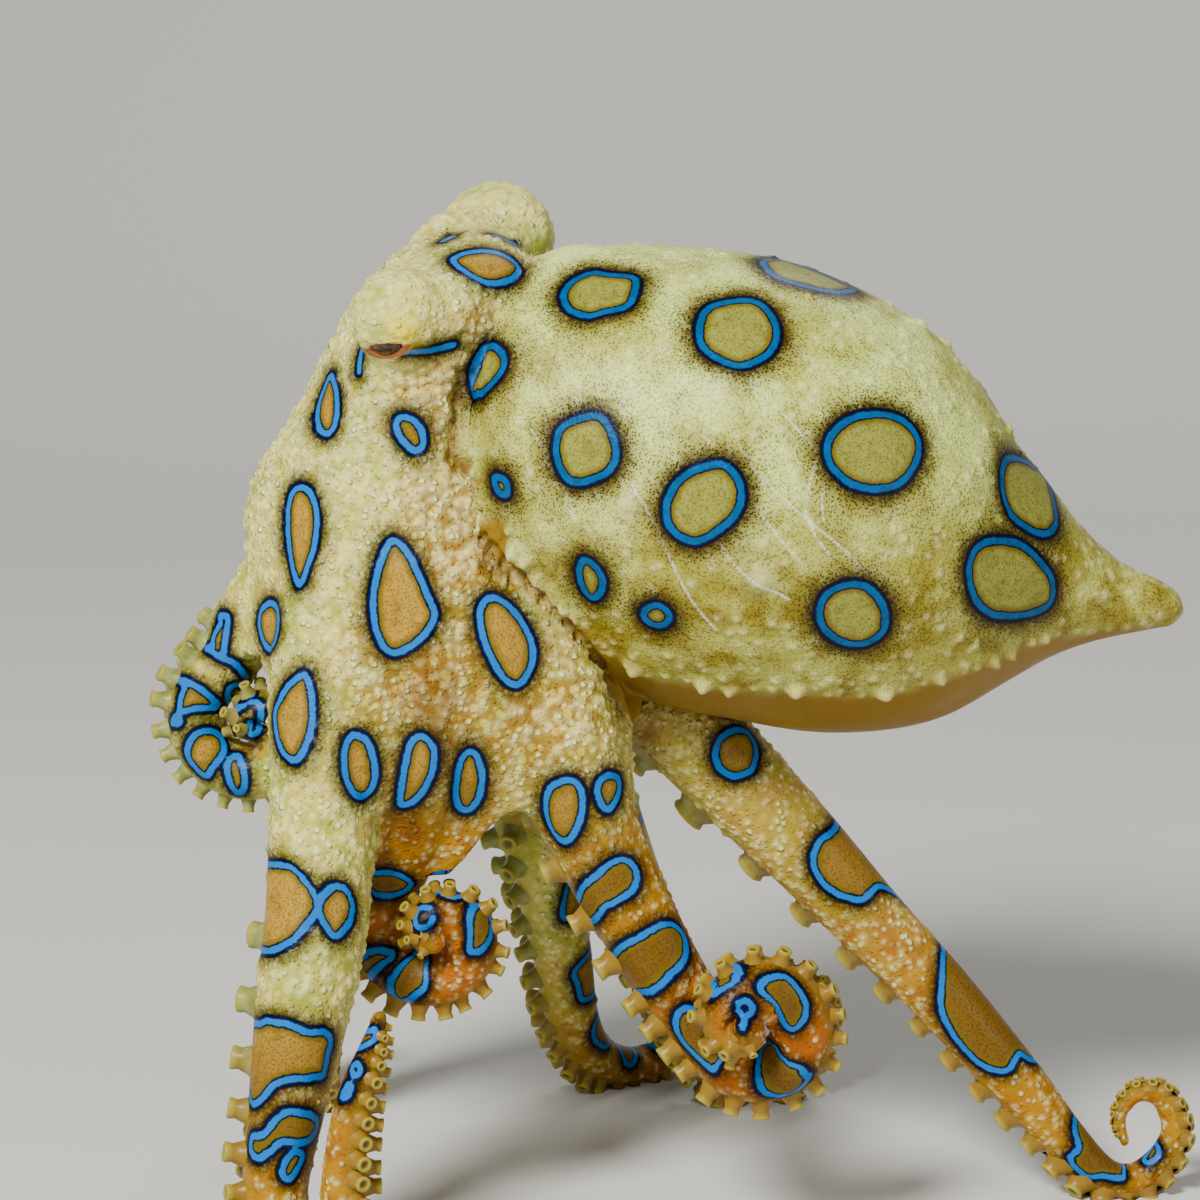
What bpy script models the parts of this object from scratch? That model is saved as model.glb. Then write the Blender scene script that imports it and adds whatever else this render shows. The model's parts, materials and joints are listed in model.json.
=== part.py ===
"""A life-size blue-ringed octopus that stands on its arms with its mantle thrown back.

The sizes are millimetres. x runs to the animal's back, y away from its left side, z up from the floor.
The last step turns every mesh to metres and puts the origin under the middle of the animal.
"""

import math

import bmesh
import bpy
from mathutils import Matrix, Vector

MM = 0.001
GAP = 0.3  # between pieces that touch

CROWN_TOP = 43.5  # the level where the head ends and the arms begin
ARM_SIDES = 9
ARM_ORAL_FLAT = 0.82  # the sucker side of an arm, as a share of its radius
ARM_STEP = 1.25  # from one section to the next, in arm radii
ARM_STEP_RANGE = (0.6, 2.6)
TIP_RADIUS = 0.26

EYE_RADIUS = 1.5
EYE_SOCKET_GAP = 0.3
LEFT_BULGE = Vector((-12.0, -4.9, 57.7))
LEFT_BULGE_RADIUS = 2.8
RIGHT_BULGE = Vector((-6.5, 9.0, 61.1))
RIGHT_BULGE_RADIUS = 3.45
LEFT_GAZE = Vector((-0.30, -0.72, -0.62)).normalized()
RIGHT_GAZE = Vector((-0.30, 0.86, -0.40)).normalized()
EYES = (
    ("left", LEFT_BULGE, LEFT_BULGE_RADIUS, LEFT_GAZE),
    ("right", RIGHT_BULGE, RIGHT_BULGE_RADIUS, RIGHT_GAZE),
)
LID_RADIUS = 0.42

# Head sections from the top down: height, middle x, middle y, half length in x, half width in y.
HEAD_SECTIONS = (
    (61.6, -8.0, 3.2, 2.4, 3.8),
    (60.3, -8.5, 2.6, 4.1, 5.7),
    (58.0, -9.4, 2.1, 5.3, 7.0),
    (55.0, -10.5, 1.9, 5.9, 7.2),
    (51.8, -11.7, 1.8, 6.3, 7.1),
    (48.7, -12.5, 1.8, 7.7, 7.8),
    (46.0, -12.5, 1.8, 9.0, 8.7),
    (CROWN_TOP + GAP / 2, -12.1, 1.9, 9.8, 9.3),
)
HEAD_TOP = Vector((-7.8, 3.5, 62.1))
HEAD_SIDES = 20

# Mantle sections from the neck to the tip: middle, half height across the axis, half width in y.
MANTLE_FRONT = Vector((-8.1, 1.5, 51.2))
MANTLE_SECTIONS = (
    (Vector((-7.5, 1.5, 51.2)), 6.9, 6.6),
    (Vector((-6.0, 1.5, 51.0)), 9.8, 8.9),
    (Vector((-2.5, 1.4, 50.0)), 11.6, 10.6),
    (Vector((1.4, 1.2, 49.0)), 12.9, 12.0),
    (Vector((6.8, 1.0, 47.2)), 14.1, 13.0),
    (Vector((12.2, 1.0, 45.2)), 13.9, 13.1),
    (Vector((16.9, 1.2, 43.1)), 12.7, 12.0),
    (Vector((21.5, 1.5, 41.5)), 10.5, 10.0),
    (Vector((25.6, 1.8, 40.6)), 7.2, 7.2),
    (Vector((28.9, 2.0, 39.9)), 4.3, 4.4),
    (Vector((31.9, 2.1, 39.3)), 2.5, 2.7),
    (Vector((34.3, 2.1, 39.0)), 1.7, 1.9),
    (Vector((35.9, 2.1, 38.6)), 1.1, 1.2),
)
MANTLE_TIP = Vector((36.6, 2.1, 38.4))
MANTLE_SIDES = 24

# Mouth, hanging in the middle of the arms: radius and height of its turned profile, top to bottom.
MOUTH_AXIS = Vector((-11.3, 2.0, 0.0))
MOUTH_PROFILE = (
    (0.0, CROWN_TOP - GAP / 2),
    (2.9, CROWN_TOP - GAP / 2),
    (3.0, 41.0),
    (2.6, 39.6),
    (1.9, 39.0),
    (1.2, 39.5),
    (0.8, 39.7),
    (0.0, 38.7),
)
MOUTH_STEPS = 20

# Siphon, on the animal's right, below the mantle's edge: from, to, and its radii.
SIPHON_FROM = Vector((-1.6, 7.4, 39.6))
SIPHON_TO = Vector((2.9, 14.2, 35.9))
SIPHON_RADII = (2.2, 1.3)
SIPHON_BORE = 0.75
SIPHON_BORE_DEPTH = 3.0

# Each arm's route from the head down: place, radius, and the way its suckers face.
# A curl then winds about its centre, in the plane of x and z, from a start angle and radius inwards.
ARMS = {
    "L1": dict(
        route=(
            ((-18.6, 1.5, CROWN_TOP), 2.9, (1.0, 0.0, 0.0)),
            ((-19.4, 1.3, 41.3), 2.7, (0.9, 0.0, -0.5)),
            ((-21.2, 1.1, 39.0), 2.35, (0.5, 0.0, -0.9)),
        ),
        curl=dict(
            centre=(-21.6, 1.0, 31.6),
            start=115,
            turns=1.2,
            reach=(4.3, 3.35, 3.1, 2.3, 0.6),
            radii=(2.1, 1.95, 1.7, 1.25, 0.35),
            drift=(0.0, -2.6, 0.0),
        ),
        cuts=(0.0, 0.24, 0.44, 0.62, 0.80, 1.0),
        web=7.0,
    ),
    "L2": dict(
        route=(
            ((-15.8, -3.9, CROWN_TOP), 2.7, (0.6, 0.8, 0.0)),
            ((-16.9, -5.6, 38.0), 3.0, (0.6, 0.8, 0.0)),
            ((-16.9, -7.2, 32.0), 3.15, (0.6, 0.8, 0.0)),
            ((-16.8, -8.3, 27.0), 3.2, (0.2, 1.0, 0.0)),
            ((-17.2, -9.6, 22.0), 3.25, (-0.5, 0.9, 0.0)),
            ((-18.0, -11.2, 17.0), 3.1, (-0.7, 0.7, 0.0)),
            ((-18.9, -12.8, 11.5), 2.6, (-0.9, 0.5, 0.0)),
            ((-19.6, -14.1, 6.6), 2.2, (-1.0, 0.2, -0.2)),
            ((-19.2, -14.8, 3.5), 2.0, (-0.9, 0.1, -0.4)),
            ((-18.4, -15.2, 1.45), 1.9, (-0.7, 0.0, -0.7)),
            ((-17.1, -15.5, 0.85), 1.8, (0.0, 0.0, -1.0)),
            ((-15.8, -15.9, 1.6), 1.7, (0.7, -0.2, -0.7)),
            ((-15.2, -16.1, 4.0), 1.6, (0.9, -0.3, -0.2)),
            ((-15.1, -16.1, 7.6), 1.45, (0.9, -0.4, 0.0)),
            ((-14.5, -16.2, 12.0), 1.25, (0.9, -0.4, 0.0)),
            ((-13.4, -16.0, 15.4), 0.9, (0.9, -0.4, -0.2)),
            ((-12.9, -15.8, 17.6), 0.4, (0.9, -0.4, 0.0)),
        ),
        cuts=(0.0, 0.30, 0.49, 0.66, 0.80, 1.0),
        web=22.0,
    ),
    "L3": dict(
        route=(
            ((-11.0, -5.0, CROWN_TOP), 2.7, (0.0, 1.0, 0.0)),
            ((-10.4, -6.2, 37.5), 2.85, (0.0, 1.0, 0.0)),
            ((-10.4, -6.5, 31.5), 2.75, (0.0, 1.0, 0.0)),
            ((-11.3, -5.4, 27.2), 2.5, (-0.4, 0.9, 0.0)),
            ((-12.7, -4.3, 23.6), 2.2, (-0.9, 0.4, 0.0)),
        ),
        curl=dict(
            centre=(-10.3, -4.2, 19.8),
            start=165,
            turns=1.18,
            reach=(3.7, 3.2, 2.9, 2.0, 0.45),
            radii=(2.0, 1.75, 1.5, 1.1, 0.35),
            drift=(0.0, -3.9, 0.0),
        ),
        cuts=(0.0, 0.30, 0.47, 0.63, 0.80, 1.0),
        web=21.0,
    ),
    "L4": dict(
        route=(
            ((-6.6, -3.2, CROWN_TOP), 2.7, (-0.7, 0.7, 0.0)),
            ((-3.6, -4.4, 37.6), 3.0, (-0.7, 0.7, 0.0)),
            ((-1.9, -5.0, 31.5), 3.1, (-0.7, 0.7, 0.0)),
            ((-0.5, -5.2, 26.0), 3.05, (-0.8, 0.6, 0.0)),
            ((1.7, -6.0, 21.4), 2.8, (-0.8, 0.4, -0.5)),
            ((4.1, -7.0, 17.4), 2.45, (-0.8, 0.3, -0.6)),
        ),
        curl=dict(
            centre=(9.4, -7.4, 14.8),
            start=-148,
            turns=1.25,
            reach=(2.9, 3.5, 3.4, 1.9, 0.55),
            radii=(2.2, 2.0, 1.75, 1.15, 0.35),
            drift=(-0.7, -5.4, 0.7),
        ),
        cuts=(0.0, 0.30, 0.47, 0.64, 0.81, 1.0),
        web=21.0,
    ),
    "R4": dict(
        route=(
            ((-4.7, 2.0, CROWN_TOP), 2.7, (-1.0, 0.0, 0.0)),
            ((-1.4, 2.9, 38.5), 3.2, (-0.9, 0.2, -0.3)),
            ((3.0, 4.0, 33.0), 3.4, (-0.7, 0.5, -0.6)),
            ((8.0, 4.9, 27.6), 3.3, (-0.6, 0.6, -0.6)),
            ((12.9, 4.7, 22.6), 2.9, (-0.5, 0.7, -0.5)),
            ((17.3, 4.2, 17.9), 2.5, (-0.5, 0.7, -0.5)),
            ((21.8, 3.7, 13.2), 2.25, (-0.5, 0.7, -0.5)),
            ((26.4, 3.4, 7.9), 1.95, (-0.5, 0.6, -0.6)),
            ((29.9, 3.4, 3.6), 1.6, (-0.4, 0.3, -0.8)),
            ((32.4, 3.7, 1.1), 1.4, (-0.2, 0.0, -1.0)),
            ((34.5, 3.9, 0.8), 1.25, (0.1, 0.0, -1.0)),
            ((36.3, 4.1, 2.2), 1.1, (0.8, 0.0, -0.5)),
            ((37.1, 4.2, 4.2), 0.95, (1.0, 0.0, 0.1)),
            ((36.2, 4.3, 6.4), 0.8, (0.6, 0.0, 0.8)),
            ((34.5, 4.2, 6.7), 0.65, (-0.3, 0.0, 1.0)),
            ((33.4, 4.1, 5.2), 0.5, (-1.0, 0.0, 0.2)),
            ((33.8, 4.0, 3.3), 0.32, (-1.0, 0.0, -0.3)),
        ),
        cuts=(0.0, 0.26, 0.45, 0.63, 0.80, 1.0),
        web=14.0,
    ),
    "R3": dict(
        route=(
            ((-6.6, 7.2, CROWN_TOP), 2.7, (-0.7, -0.7, 0.0)),
            ((-4.4, 9.0, 37.6), 3.0, (-0.7, -0.7, 0.0)),
            ((-2.2, 10.8, 31.5), 3.1, (-0.7, -0.7, 0.0)),
            ((-0.9, 13.2, 25.5), 2.9, (-0.7, -0.5, -0.3)),
            ((1.0, 15.8, 19.5), 2.6, (-0.8, 0.0, -0.5)),
            ((3.2, 18.6, 13.4), 2.3, (-0.9, 0.2, -0.4)),
            ((5.4, 21.4, 7.4), 2.0, (-0.9, 0.0, -0.5)),
            ((7.8, 23.6, 2.6), 1.8, (-0.5, 0.0, -0.9)),
            ((11.0, 24.6, 0.9), 1.55, (0.0, 0.0, -1.0)),
            ((14.0, 24.8, 2.6), 1.3, (0.7, 0.0, -0.7)),
            ((15.4, 24.8, 6.4), 1.05, (1.0, 0.0, 0.0)),
            ((13.8, 24.6, 8.9), 0.8, (0.4, 0.0, 0.9)),
            ((11.4, 24.2, 8.6), 0.55, (-0.7, 0.0, 0.7)),
            ((10.9, 23.8, 6.9), TIP_RADIUS, (-1.0, 0.0, -0.2)),
        ),
        cuts=(0.0, 0.30, 0.48, 0.66, 0.82, 1.0),
        web=18.0,
    ),
    "R2": dict(
        route=(
            ((-11.4, 9.0, CROWN_TOP), 2.7, (0.0, -1.0, 0.0)),
            ((-9.9, 11.6, 37.8), 2.9, (0.0, -1.0, 0.0)),
            ((-8.0, 14.4, 31.6), 2.9, (0.0, -1.0, 0.0)),
            ((-6.0, 17.0, 25.0), 2.7, (-0.5, -0.8, 0.0)),
            ((-4.2, 19.4, 18.4), 2.5, (-0.9, -0.3, 0.0)),
            ((-2.9, 21.8, 11.8), 2.3, (-1.0, 0.1, 0.0)),
            ((-2.1, 24.2, 6.0), 2.05, (-0.8, 0.0, -0.4)),
            ((-0.5, 27.0, 2.3), 1.8, (-0.4, 0.0, -0.9)),
            ((2.5, 29.3, 0.88), 1.5, (0.0, 0.0, -1.0)),
            ((5.5, 30.6, 2.4), 1.2, (0.5, 0.2, -0.8)),
            ((7.1, 31.2, 5.6), 0.9, (0.9, 0.2, 0.0)),
            ((5.8, 31.2, 7.9), 0.6, (0.4, 0.2, 0.9)),
            ((3.9, 30.9, 7.5), TIP_RADIUS, (-0.7, 0.0, 0.7)),
        ),
        cuts=(0.0, 0.30, 0.48, 0.66, 0.82, 1.0),
        web=18.0,
    ),
    "R1": dict(
        route=(
            ((-16.2, 7.0, CROWN_TOP), 2.7, (0.6, -0.8, 0.0)),
            ((-17.2, 9.6, 37.8), 2.9, (0.6, -0.8, 0.0)),
            ((-17.6, 12.0, 31.6), 2.9, (0.5, -0.9, 0.0)),
            ((-17.8, 14.2, 25.0), 2.75, (0.1, -1.0, 0.0)),
            ((-18.3, 16.2, 18.4), 2.5, (-0.3, -0.9, 0.0)),
            ((-18.9, 18.2, 12.0), 2.25, (-0.1, -1.0, 0.0)),
            ((-19.4, 20.2, 6.2), 1.95, (0.0, -0.9, -0.4)),
            ((-19.6, 22.0, 2.5), 1.7, (0.0, -0.5, -0.9)),
            ((-19.6, 24.6, 0.82), 1.45, (0.0, 0.0, -1.0)),
            ((-19.5, 27.2, 2.3), 1.2, (0.0, 0.6, -0.8)),
            ((-19.4, 28.4, 5.0), 0.95, (0.0, 1.0, 0.0)),
            ((-19.3, 27.4, 7.5), 0.65, (0.0, 0.5, 0.9)),
            ((-19.3, 25.4, 7.8), TIP_RADIUS, (0.0, -0.5, 0.9)),
        ),
        cuts=(0.0, 0.30, 0.48, 0.66, 0.82, 1.0),
        web=18.0,
    ),
}
CURL_TILT = 0.35  # how far the suckers of a curl turn away from its open side
ARM_LENGTH_NAMES = ("base", "upper", "middle", "lower", "tip")
ARM_ORDER = ("L1", "L2", "L3", "L4", "R4", "R3", "R2", "R1")  # round the mouth

WEB_THICKNESS = (1.5, 0.9)  # at the head and at the free edge
WEB_OUTWARD = (0.85, 0.45)  # how far out it lies on the arms, in arm radii, at the head and at the edge
WEB_BOW = 0.7
WEB_UNEVEN = 5.0  # the most that it reaches farther along one arm than along the other
WEB_SCALLOP = 0.22  # how far the free edge is drawn up between two arms
WEB_HIDDEN = 0.27  # the share of its width that each arm hides
WEB_ROWS, WEB_COLUMNS = 4, 6

# Suckers in two rows, from near the mouth to the tip. Sizes are in arm radii, except where they say otherwise.
SUCKER_ROW_ANGLE = math.radians(34)  # from the middle of the sucker side
SUCKER_SHARE = 0.36
SUCKER_RADIUS_RANGE = (0.28, 1.1)  # millimetres
SUCKER_PITCH = 2.1  # along one row
SUCKER_SIDES = 6
SUCKER_PROFILE = ((0.80, -0.75), (1.0, 0.70))  # radius and height of its rings, in sucker radii
SUCKER_DIMPLE = 0.25
SUCKER_SPAN = (6.5, 1.0)  # from the mouth and from the tip, in millimetres
SUCKER_GROWTH = (0.6, 18.0)  # the first one's share of full size, and where they are all full size

COLOURS = {
    "mantle": (0.60, 0.56, 0.27),
    "head": (0.62, 0.52, 0.27),
    "arm": (0.66, 0.42, 0.14),
    "web": (0.62, 0.46, 0.20),
    "eye": (0.16, 0.07, 0.03),
    "mouth": (0.55, 0.34, 0.22),
    "siphon": (0.66, 0.50, 0.28),
}


def clear_scene():
    for item in list(bpy.data.objects):
        bpy.data.objects.remove(item)


def new_collection(name, hidden=False):
    made = bpy.data.collections.new(name)
    bpy.context.scene.collection.children.link(made)
    made.hide_render = hidden
    return made


def material(name):
    made = bpy.data.materials.new(name)
    made.use_nodes = True
    shader = made.node_tree.nodes["Principled BSDF"]
    shader.inputs["Base Color"].default_value = (*COLOURS[name], 1.0)
    shader.inputs["Roughness"].default_value = 0.25 if name == "eye" else 0.5
    shader.inputs["Metallic"].default_value = 0.0
    return made


def new_object(name, mesh_builder, kind=None):
    """An object from a bmesh, in the parts' collection when it has a kind of finish, and otherwise a tool."""
    mesh = bpy.data.meshes.new(name)
    mesh_builder.to_mesh(mesh)
    mesh_builder.free()
    made = bpy.data.objects.new(name, mesh)
    (tools if kind is None else parts).objects.link(made)
    if kind is None:
        made.hide_render = True
        made.display_type = "WIRE"
    else:
        mesh.materials.append(finishes[kind])
    return made


def loft(name, rings, kind=None, start=None, end=None, folded=False):
    """A closed skin over rings of points, with a pole point or a flat cap at each end, or a strip if folded."""
    build = bmesh.new()
    rows = [[build.verts.new(p) for p in ring] for ring in rings]
    count = len(rows[0])
    for upper, lower in zip(rows, rows[1:]):
        for i in range(count):
            j = (i + 1) % count
            build.faces.new((upper[i], upper[j], lower[j], lower[i]))
    for row, pole, first in ((rows[0], start, True), (rows[-1], end, False)):
        if folded:
            for i in range(count // 2 - 1):
                build.faces.new((row[i], row[i + 1], row[-2 - i], row[-1 - i]))
            continue
        if pole is None:
            build.faces.new(row[::-1] if first else row)
            continue
        centre = build.verts.new(pole)
        for i in range(count):
            j = (i + 1) % count
            build.faces.new((centre, row[j], row[i]) if first else (centre, row[i], row[j]))
    bmesh.ops.recalc_face_normals(build, faces=build.faces)
    return new_object(name, build, kind)


def ring(centre, half_a, half_b, way_a, way_b, sides):
    turn = [2 * math.pi * i / sides for i in range(sides)]
    return [centre + way_a * half_a * math.cos(t) + way_b * half_b * math.sin(t) for t in turn]


def apply_modifiers(target):
    graph = bpy.context.evaluated_depsgraph_get()
    made = bpy.data.meshes.new_from_object(target.evaluated_get(graph))
    target.modifiers.clear()
    target.data = made


def cut(target, cutters):
    for cutter in cutters:
        boolean = target.modifiers.new("cut", "BOOLEAN")
        boolean.operation = "DIFFERENCE"
        boolean.object = cutter
        boolean.solver = "MANIFOLD"
    apply_modifiers(target)
    keep_largest(target)


def fuse(target, pieces):
    """Joins closed pieces to the target in one union, and removes them."""
    if not pieces:
        return
    group = new_collection("fused", hidden=True)
    for piece in pieces:
        tools.objects.unlink(piece)
        group.objects.link(piece)
    boolean = target.modifiers.new("join", "BOOLEAN")
    boolean.operation = "UNION"
    boolean.operand_type = "COLLECTION"
    boolean.collection = group
    boolean.solver = "MANIFOLD"
    apply_modifiers(target)
    for piece in pieces:
        bpy.data.objects.remove(piece)
    bpy.data.collections.remove(group)
    keep_largest(target)


def keep_largest(target):
    """Keeps the largest closed surface of a mesh."""
    build = bmesh.new()
    build.from_mesh(target.data)
    left = set(build.faces)
    shells = []
    while left:
        shell, edge = set(), [left.pop()]
        while edge:
            face = edge.pop()
            shell.add(face)
            for side in face.edges:
                if len(side.link_faces) != 2:
                    continue
                for other in side.link_faces:
                    if other in left:
                        left.remove(other)
                        edge.append(other)
        shells.append(shell)
    largest = max(shells, key=lambda shell: sum(face.calc_area() for face in shell))
    spare = [face for shell in shells if shell is not largest for face in shell]
    bmesh.ops.delete(build, geom=spare, context="FACES")
    build.to_mesh(target.data)
    build.free()


def smooth(target):
    target.data.shade_smooth()
    target.data.set_sharp_from_angle(angle=math.radians(50))


def spline(rows, per_span=14):
    """Dense samples of a smooth curve through rows of numbers."""
    rows = [list(row) for row in rows]
    rows = [[2 * a - b for a, b in zip(rows[0], rows[1])]] + rows
    rows.append([2 * a - b for a, b in zip(rows[-1], rows[-2])])
    out = []
    for p0, p1, p2, p3 in zip(rows, rows[1:], rows[2:], rows[3:]):
        for step in range(per_span):
            t = step / per_span
            out.append([
                0.5 * (2 * b + (c - a) * t + (2 * a - 5 * b + 4 * c - d) * t * t + (3 * b - a - 3 * c + d) * t ** 3)
                for a, b, c, d in zip(p0, p1, p2, p3)
            ])
    out.append(rows[-2])
    return out


def between(values, share):
    """The value at a share of the way along an evenly spaced list."""
    slot = share * (len(values) - 1)
    k = min(int(slot), len(values) - 2)
    return values[k] + (values[k + 1] - values[k]) * (slot - k)


def curl_rows(curl):
    """Points of an arm's curl: a spiral that closes in and comes forward, suckers outwards and back."""
    centre, drift = Vector(curl["centre"]), Vector(curl["drift"])
    count = round(curl["turns"] * 12)
    rows = []
    for i in range(count + 1):
        share = i / count
        angle = math.radians(curl["start"]) + share * curl["turns"] * 2 * math.pi
        outward = Vector((math.cos(angle), 0.0, math.sin(angle)))
        place = centre + outward * between(curl["reach"], share) + drift * share ** 1.2
        oral = outward + Vector((0.0, CURL_TILT, 0.0))
        rows.append((*place, between(curl["radii"], share), *oral))
    return rows


class Arm:
    """An arm's centre line, with its radius and sucker direction at any length along it."""

    def __init__(self, name):
        plan = ARMS[name]
        self.name, self.web, self.cuts = name, plan["web"], plan["cuts"]
        rows = [(*place, radius, *oral) for place, radius, oral in plan["route"]]
        if "curl" in plan:
            rows += curl_rows(plan["curl"])
        self.rows = spline(rows)
        self.at = [0.0]
        for a, b in zip(self.rows, self.rows[1:]):
            self.at.append(self.at[-1] + (Vector(b[:3]) - Vector(a[:3])).length)
        self.length = self.at[-1]

    def row(self, s):
        s = min(max(s, 0.0), self.length)
        low, high = 0, len(self.at) - 1
        while high - low > 1:
            middle = (low + high) // 2
            low, high = (middle, high) if self.at[middle] <= s else (low, middle)
        share = (s - self.at[low]) / max(self.at[high] - self.at[low], 1e-9)
        return [a + (b - a) * share for a, b in zip(self.rows[low], self.rows[high])]

    def place(self, s):
        return Vector(self.row(s)[:3])

    def radius(self, s):
        return self.row(s)[3]

    def frame(self, s):
        """Centre, radius, the way along, the way the suckers face, and the way across."""
        row = self.row(s)
        along = (self.place(s + 0.35) - self.place(s - 0.35)).normalized()
        level = max(0.0, 1.0 - s / 4.0)  # the first section lies flat under the head
        along = along.lerp(Vector((0.0, 0.0, -1.0)), level).normalized()
        oral = Vector(row[4:7])
        oral = (oral - along * oral.dot(along)).normalized()
        return Vector(row[:3]), row[3], along, oral, along.cross(oral)

    def stations(self, start, end):
        """Lengths along the arm where a stretch has its sections, closer together where it is thin."""
        out, s = [start], start
        while True:
            step = min(max(self.radius(s) * ARM_STEP, ARM_STEP_RANGE[0]), ARM_STEP_RANGE[1])
            s += step
            if s > end - step * 0.5:
                break
            out.append(s)
        return out + [end]

    def nearest(self, point):
        """The place and radius on this arm's root that lie nearest to a point."""
        best = min((r for r, s in zip(self.rows, self.at) if s < 26.0), key=lambda r: (Vector(r[:3]) - point).length)
        return Vector(best[:3]), best[3]

    def section(self, s, grow=0.0, beside=()):
        """A ring of points round the arm, held back from the arms beside it."""
        centre, radius, along, oral, across = self.frame(s)
        radius += grow
        limits = []
        for other in beside:
            near, other_radius = other.nearest(centre)
            away = near - centre
            if away.length < radius + other_radius + 1.0:
                share = radius / (radius + other_radius)
                limits.append((away.normalized(), away.length * share - GAP * 0.6))
        points = []
        for i in range(ARM_SIDES):
            turn = 2 * math.pi * i / ARM_SIDES
            out = -oral * math.cos(turn) + across * math.sin(turn)
            reach = radius * (1.0 if math.cos(turn) > 0 else 1.0 - (1.0 - ARM_ORAL_FLAT) * abs(math.cos(turn)))
            for way, limit in limits:
                if out.dot(way) * reach > limit:
                    reach = limit / out.dot(way)
            points.append(centre + out * reach)
        return points

    def spans(self):
        """The name, start and end of each length of the arm, with the gaps between them."""
        cuts = [c * self.length for c in self.cuts]
        for label, start, end in zip(ARM_LENGTH_NAMES, cuts, cuts[1:]):
            yield label, start + GAP / 2, end - GAP / 2 if end < self.length else self.length

    def solid(self, name, start, end, kind=None, grow=0.0, beside=()):
        rings = [self.section(s, grow, beside if s < 26.0 else ()) for s in self.stations(start, end)]
        for i, s, way in ((0, start, -1), (-1, end, 1)):
            along = self.frame(s)[2]
            rings[i] = [p + along * way * grow for p in rings[i]]
        tip = None
        if end >= self.length:
            centre, radius, along, oral, across = self.frame(self.length)
            tip = centre + along * radius * 0.7
        return loft(name, rings, kind, end=tip)

    def suckers(self):
        """Where the suckers belong: length along the arm, side and radius."""
        s, side = SUCKER_SPAN[0], 1
        while s < self.length - SUCKER_SPAN[1]:
            radius = self.radius(s)
            grown = min(1.0, SUCKER_GROWTH[0] + (1 - SUCKER_GROWTH[0]) * s / SUCKER_GROWTH[1])
            size = min(max(radius * SUCKER_SHARE, SUCKER_RADIUS_RANGE[0]), SUCKER_RADIUS_RANGE[1]) * grown
            yield s, side, size
            s += max(radius * SUCKER_PITCH, size * 2.3) / 2
            side = -side

    def suckers_on(self, start, end):
        """The suckers that fit on one length of the arm, moved in from its ends."""
        last = {}
        for s, side, size in self.suckers():
            if not start - size < s < end + size:
                continue
            s = min(max(s, start + size * 1.15), end - size * 1.15)
            if side not in last or s - last[side] > size * 2.1:
                last[side] = s
                yield s, side, size

    def sucker(self, s, side, size, grow=0.0):
        """A flared cup with a dimple, its root inside the arm."""
        centre, radius, along, oral, across = self.frame(s)
        out = oral * math.cos(SUCKER_ROW_ANGLE) + across * math.sin(SUCKER_ROW_ANGLE) * side
        level = out.cross(along).normalized()
        base = centre + out * radius * (1.0 - (1.0 - ARM_ORAL_FLAT) * math.cos(SUCKER_ROW_ANGLE))
        rings = []
        for share, height in SUCKER_PROFILE:
            wide = size * share + grow
            rings.append(ring(base + out * (size * height + grow), wide, wide, along, level, SUCKER_SIDES))
        return loft("sucker", rings, end=base + out * (size * SUCKER_DIMPLE + grow))


def arm_beside(name):
    """The two arms that stand next to an arm in the ring."""
    i = ARM_ORDER.index(name)
    return [arms[ARM_ORDER[i - 1]], arms[ARM_ORDER[(i + 1) % len(ARM_ORDER)]]]


def make_arm(arm):
    """An arm's five lengths, each with its suckers."""
    for label, start, end in arm.spans():
        piece = arm.solid(f"arm_{arm.name}_{label}", start, end, "arm", beside=arm_beside(arm.name))
        fuse(piece, [arm.sucker(*place) for place in arm.suckers_on(start, end)])


def arm_rooms(arm):
    """The arm's upper lengths and their suckers grown by the gap, to cut the pieces beside them."""
    made = []
    for label, start, end in arm.spans():
        if start < arm.web + WEB_UNEVEN:
            made.append(arm.solid("room", start, end, grow=GAP))
            fuse(made[-1], [arm.sucker(*place, grow=GAP) for place in arm.suckers_on(start, end)])
    return made


def make_head():
    rings = [
        ring(Vector((x, y, z)), a, b, Vector((1, 0, 0)), Vector((0, 1, 0)), HEAD_SIDES)
        for z, x, y, a, b in HEAD_SECTIONS
    ]
    head = loft("head", rings, "head", start=HEAD_TOP)
    extras = []
    for side, bulge, size, gaze in EYES:
        extras.append(ball("bulge_" + side, bulge, size, segments=14))
    fuse(head, extras)
    return head


def eye_centre(bulge, size, gaze):
    return bulge + gaze * (size - EYE_RADIUS + 0.1)


def ball(name, centre, radius, kind=None, segments=12):
    build = bmesh.new()
    bmesh.ops.create_uvsphere(build, u_segments=segments, v_segments=segments * 2 // 3, radius=radius)
    bmesh.ops.translate(build, verts=build.verts, vec=centre)
    return new_object(name, build, kind)


def eyelid(name, bulge, size, gaze):
    """A raised fold round an eye, wider than it is tall."""
    bpy.ops.mesh.primitive_torus_add(
        major_segments=14, minor_segments=5, major_radius=EYE_RADIUS * 0.86, minor_radius=LID_RADIUS
    )
    made = bpy.context.object
    made.name = name
    level = Vector((0, 0, 1)).cross(gaze).normalized()
    upward = gaze.cross(level)
    turn = Matrix((level * 1.15, upward * 0.8, gaze)).transposed().to_4x4()
    made.data.transform(Matrix.Translation(bulge + gaze * (size - 0.32)) @ turn)
    for group in list(made.users_collection):
        group.objects.unlink(made)
    tools.objects.link(made)
    made.hide_render = True
    made.display_type = "WIRE"
    return made


def make_eyes(head):
    for side, bulge, size, gaze in EYES:
        centre = eye_centre(bulge, size, gaze)
        fuse(head, [eyelid("lid_" + side, bulge, size, gaze)])
        cut(head, [ball("socket_" + side, centre, EYE_RADIUS + EYE_SOCKET_GAP)])
        ball("eye_" + side, centre, EYE_RADIUS, "eye")


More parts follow.
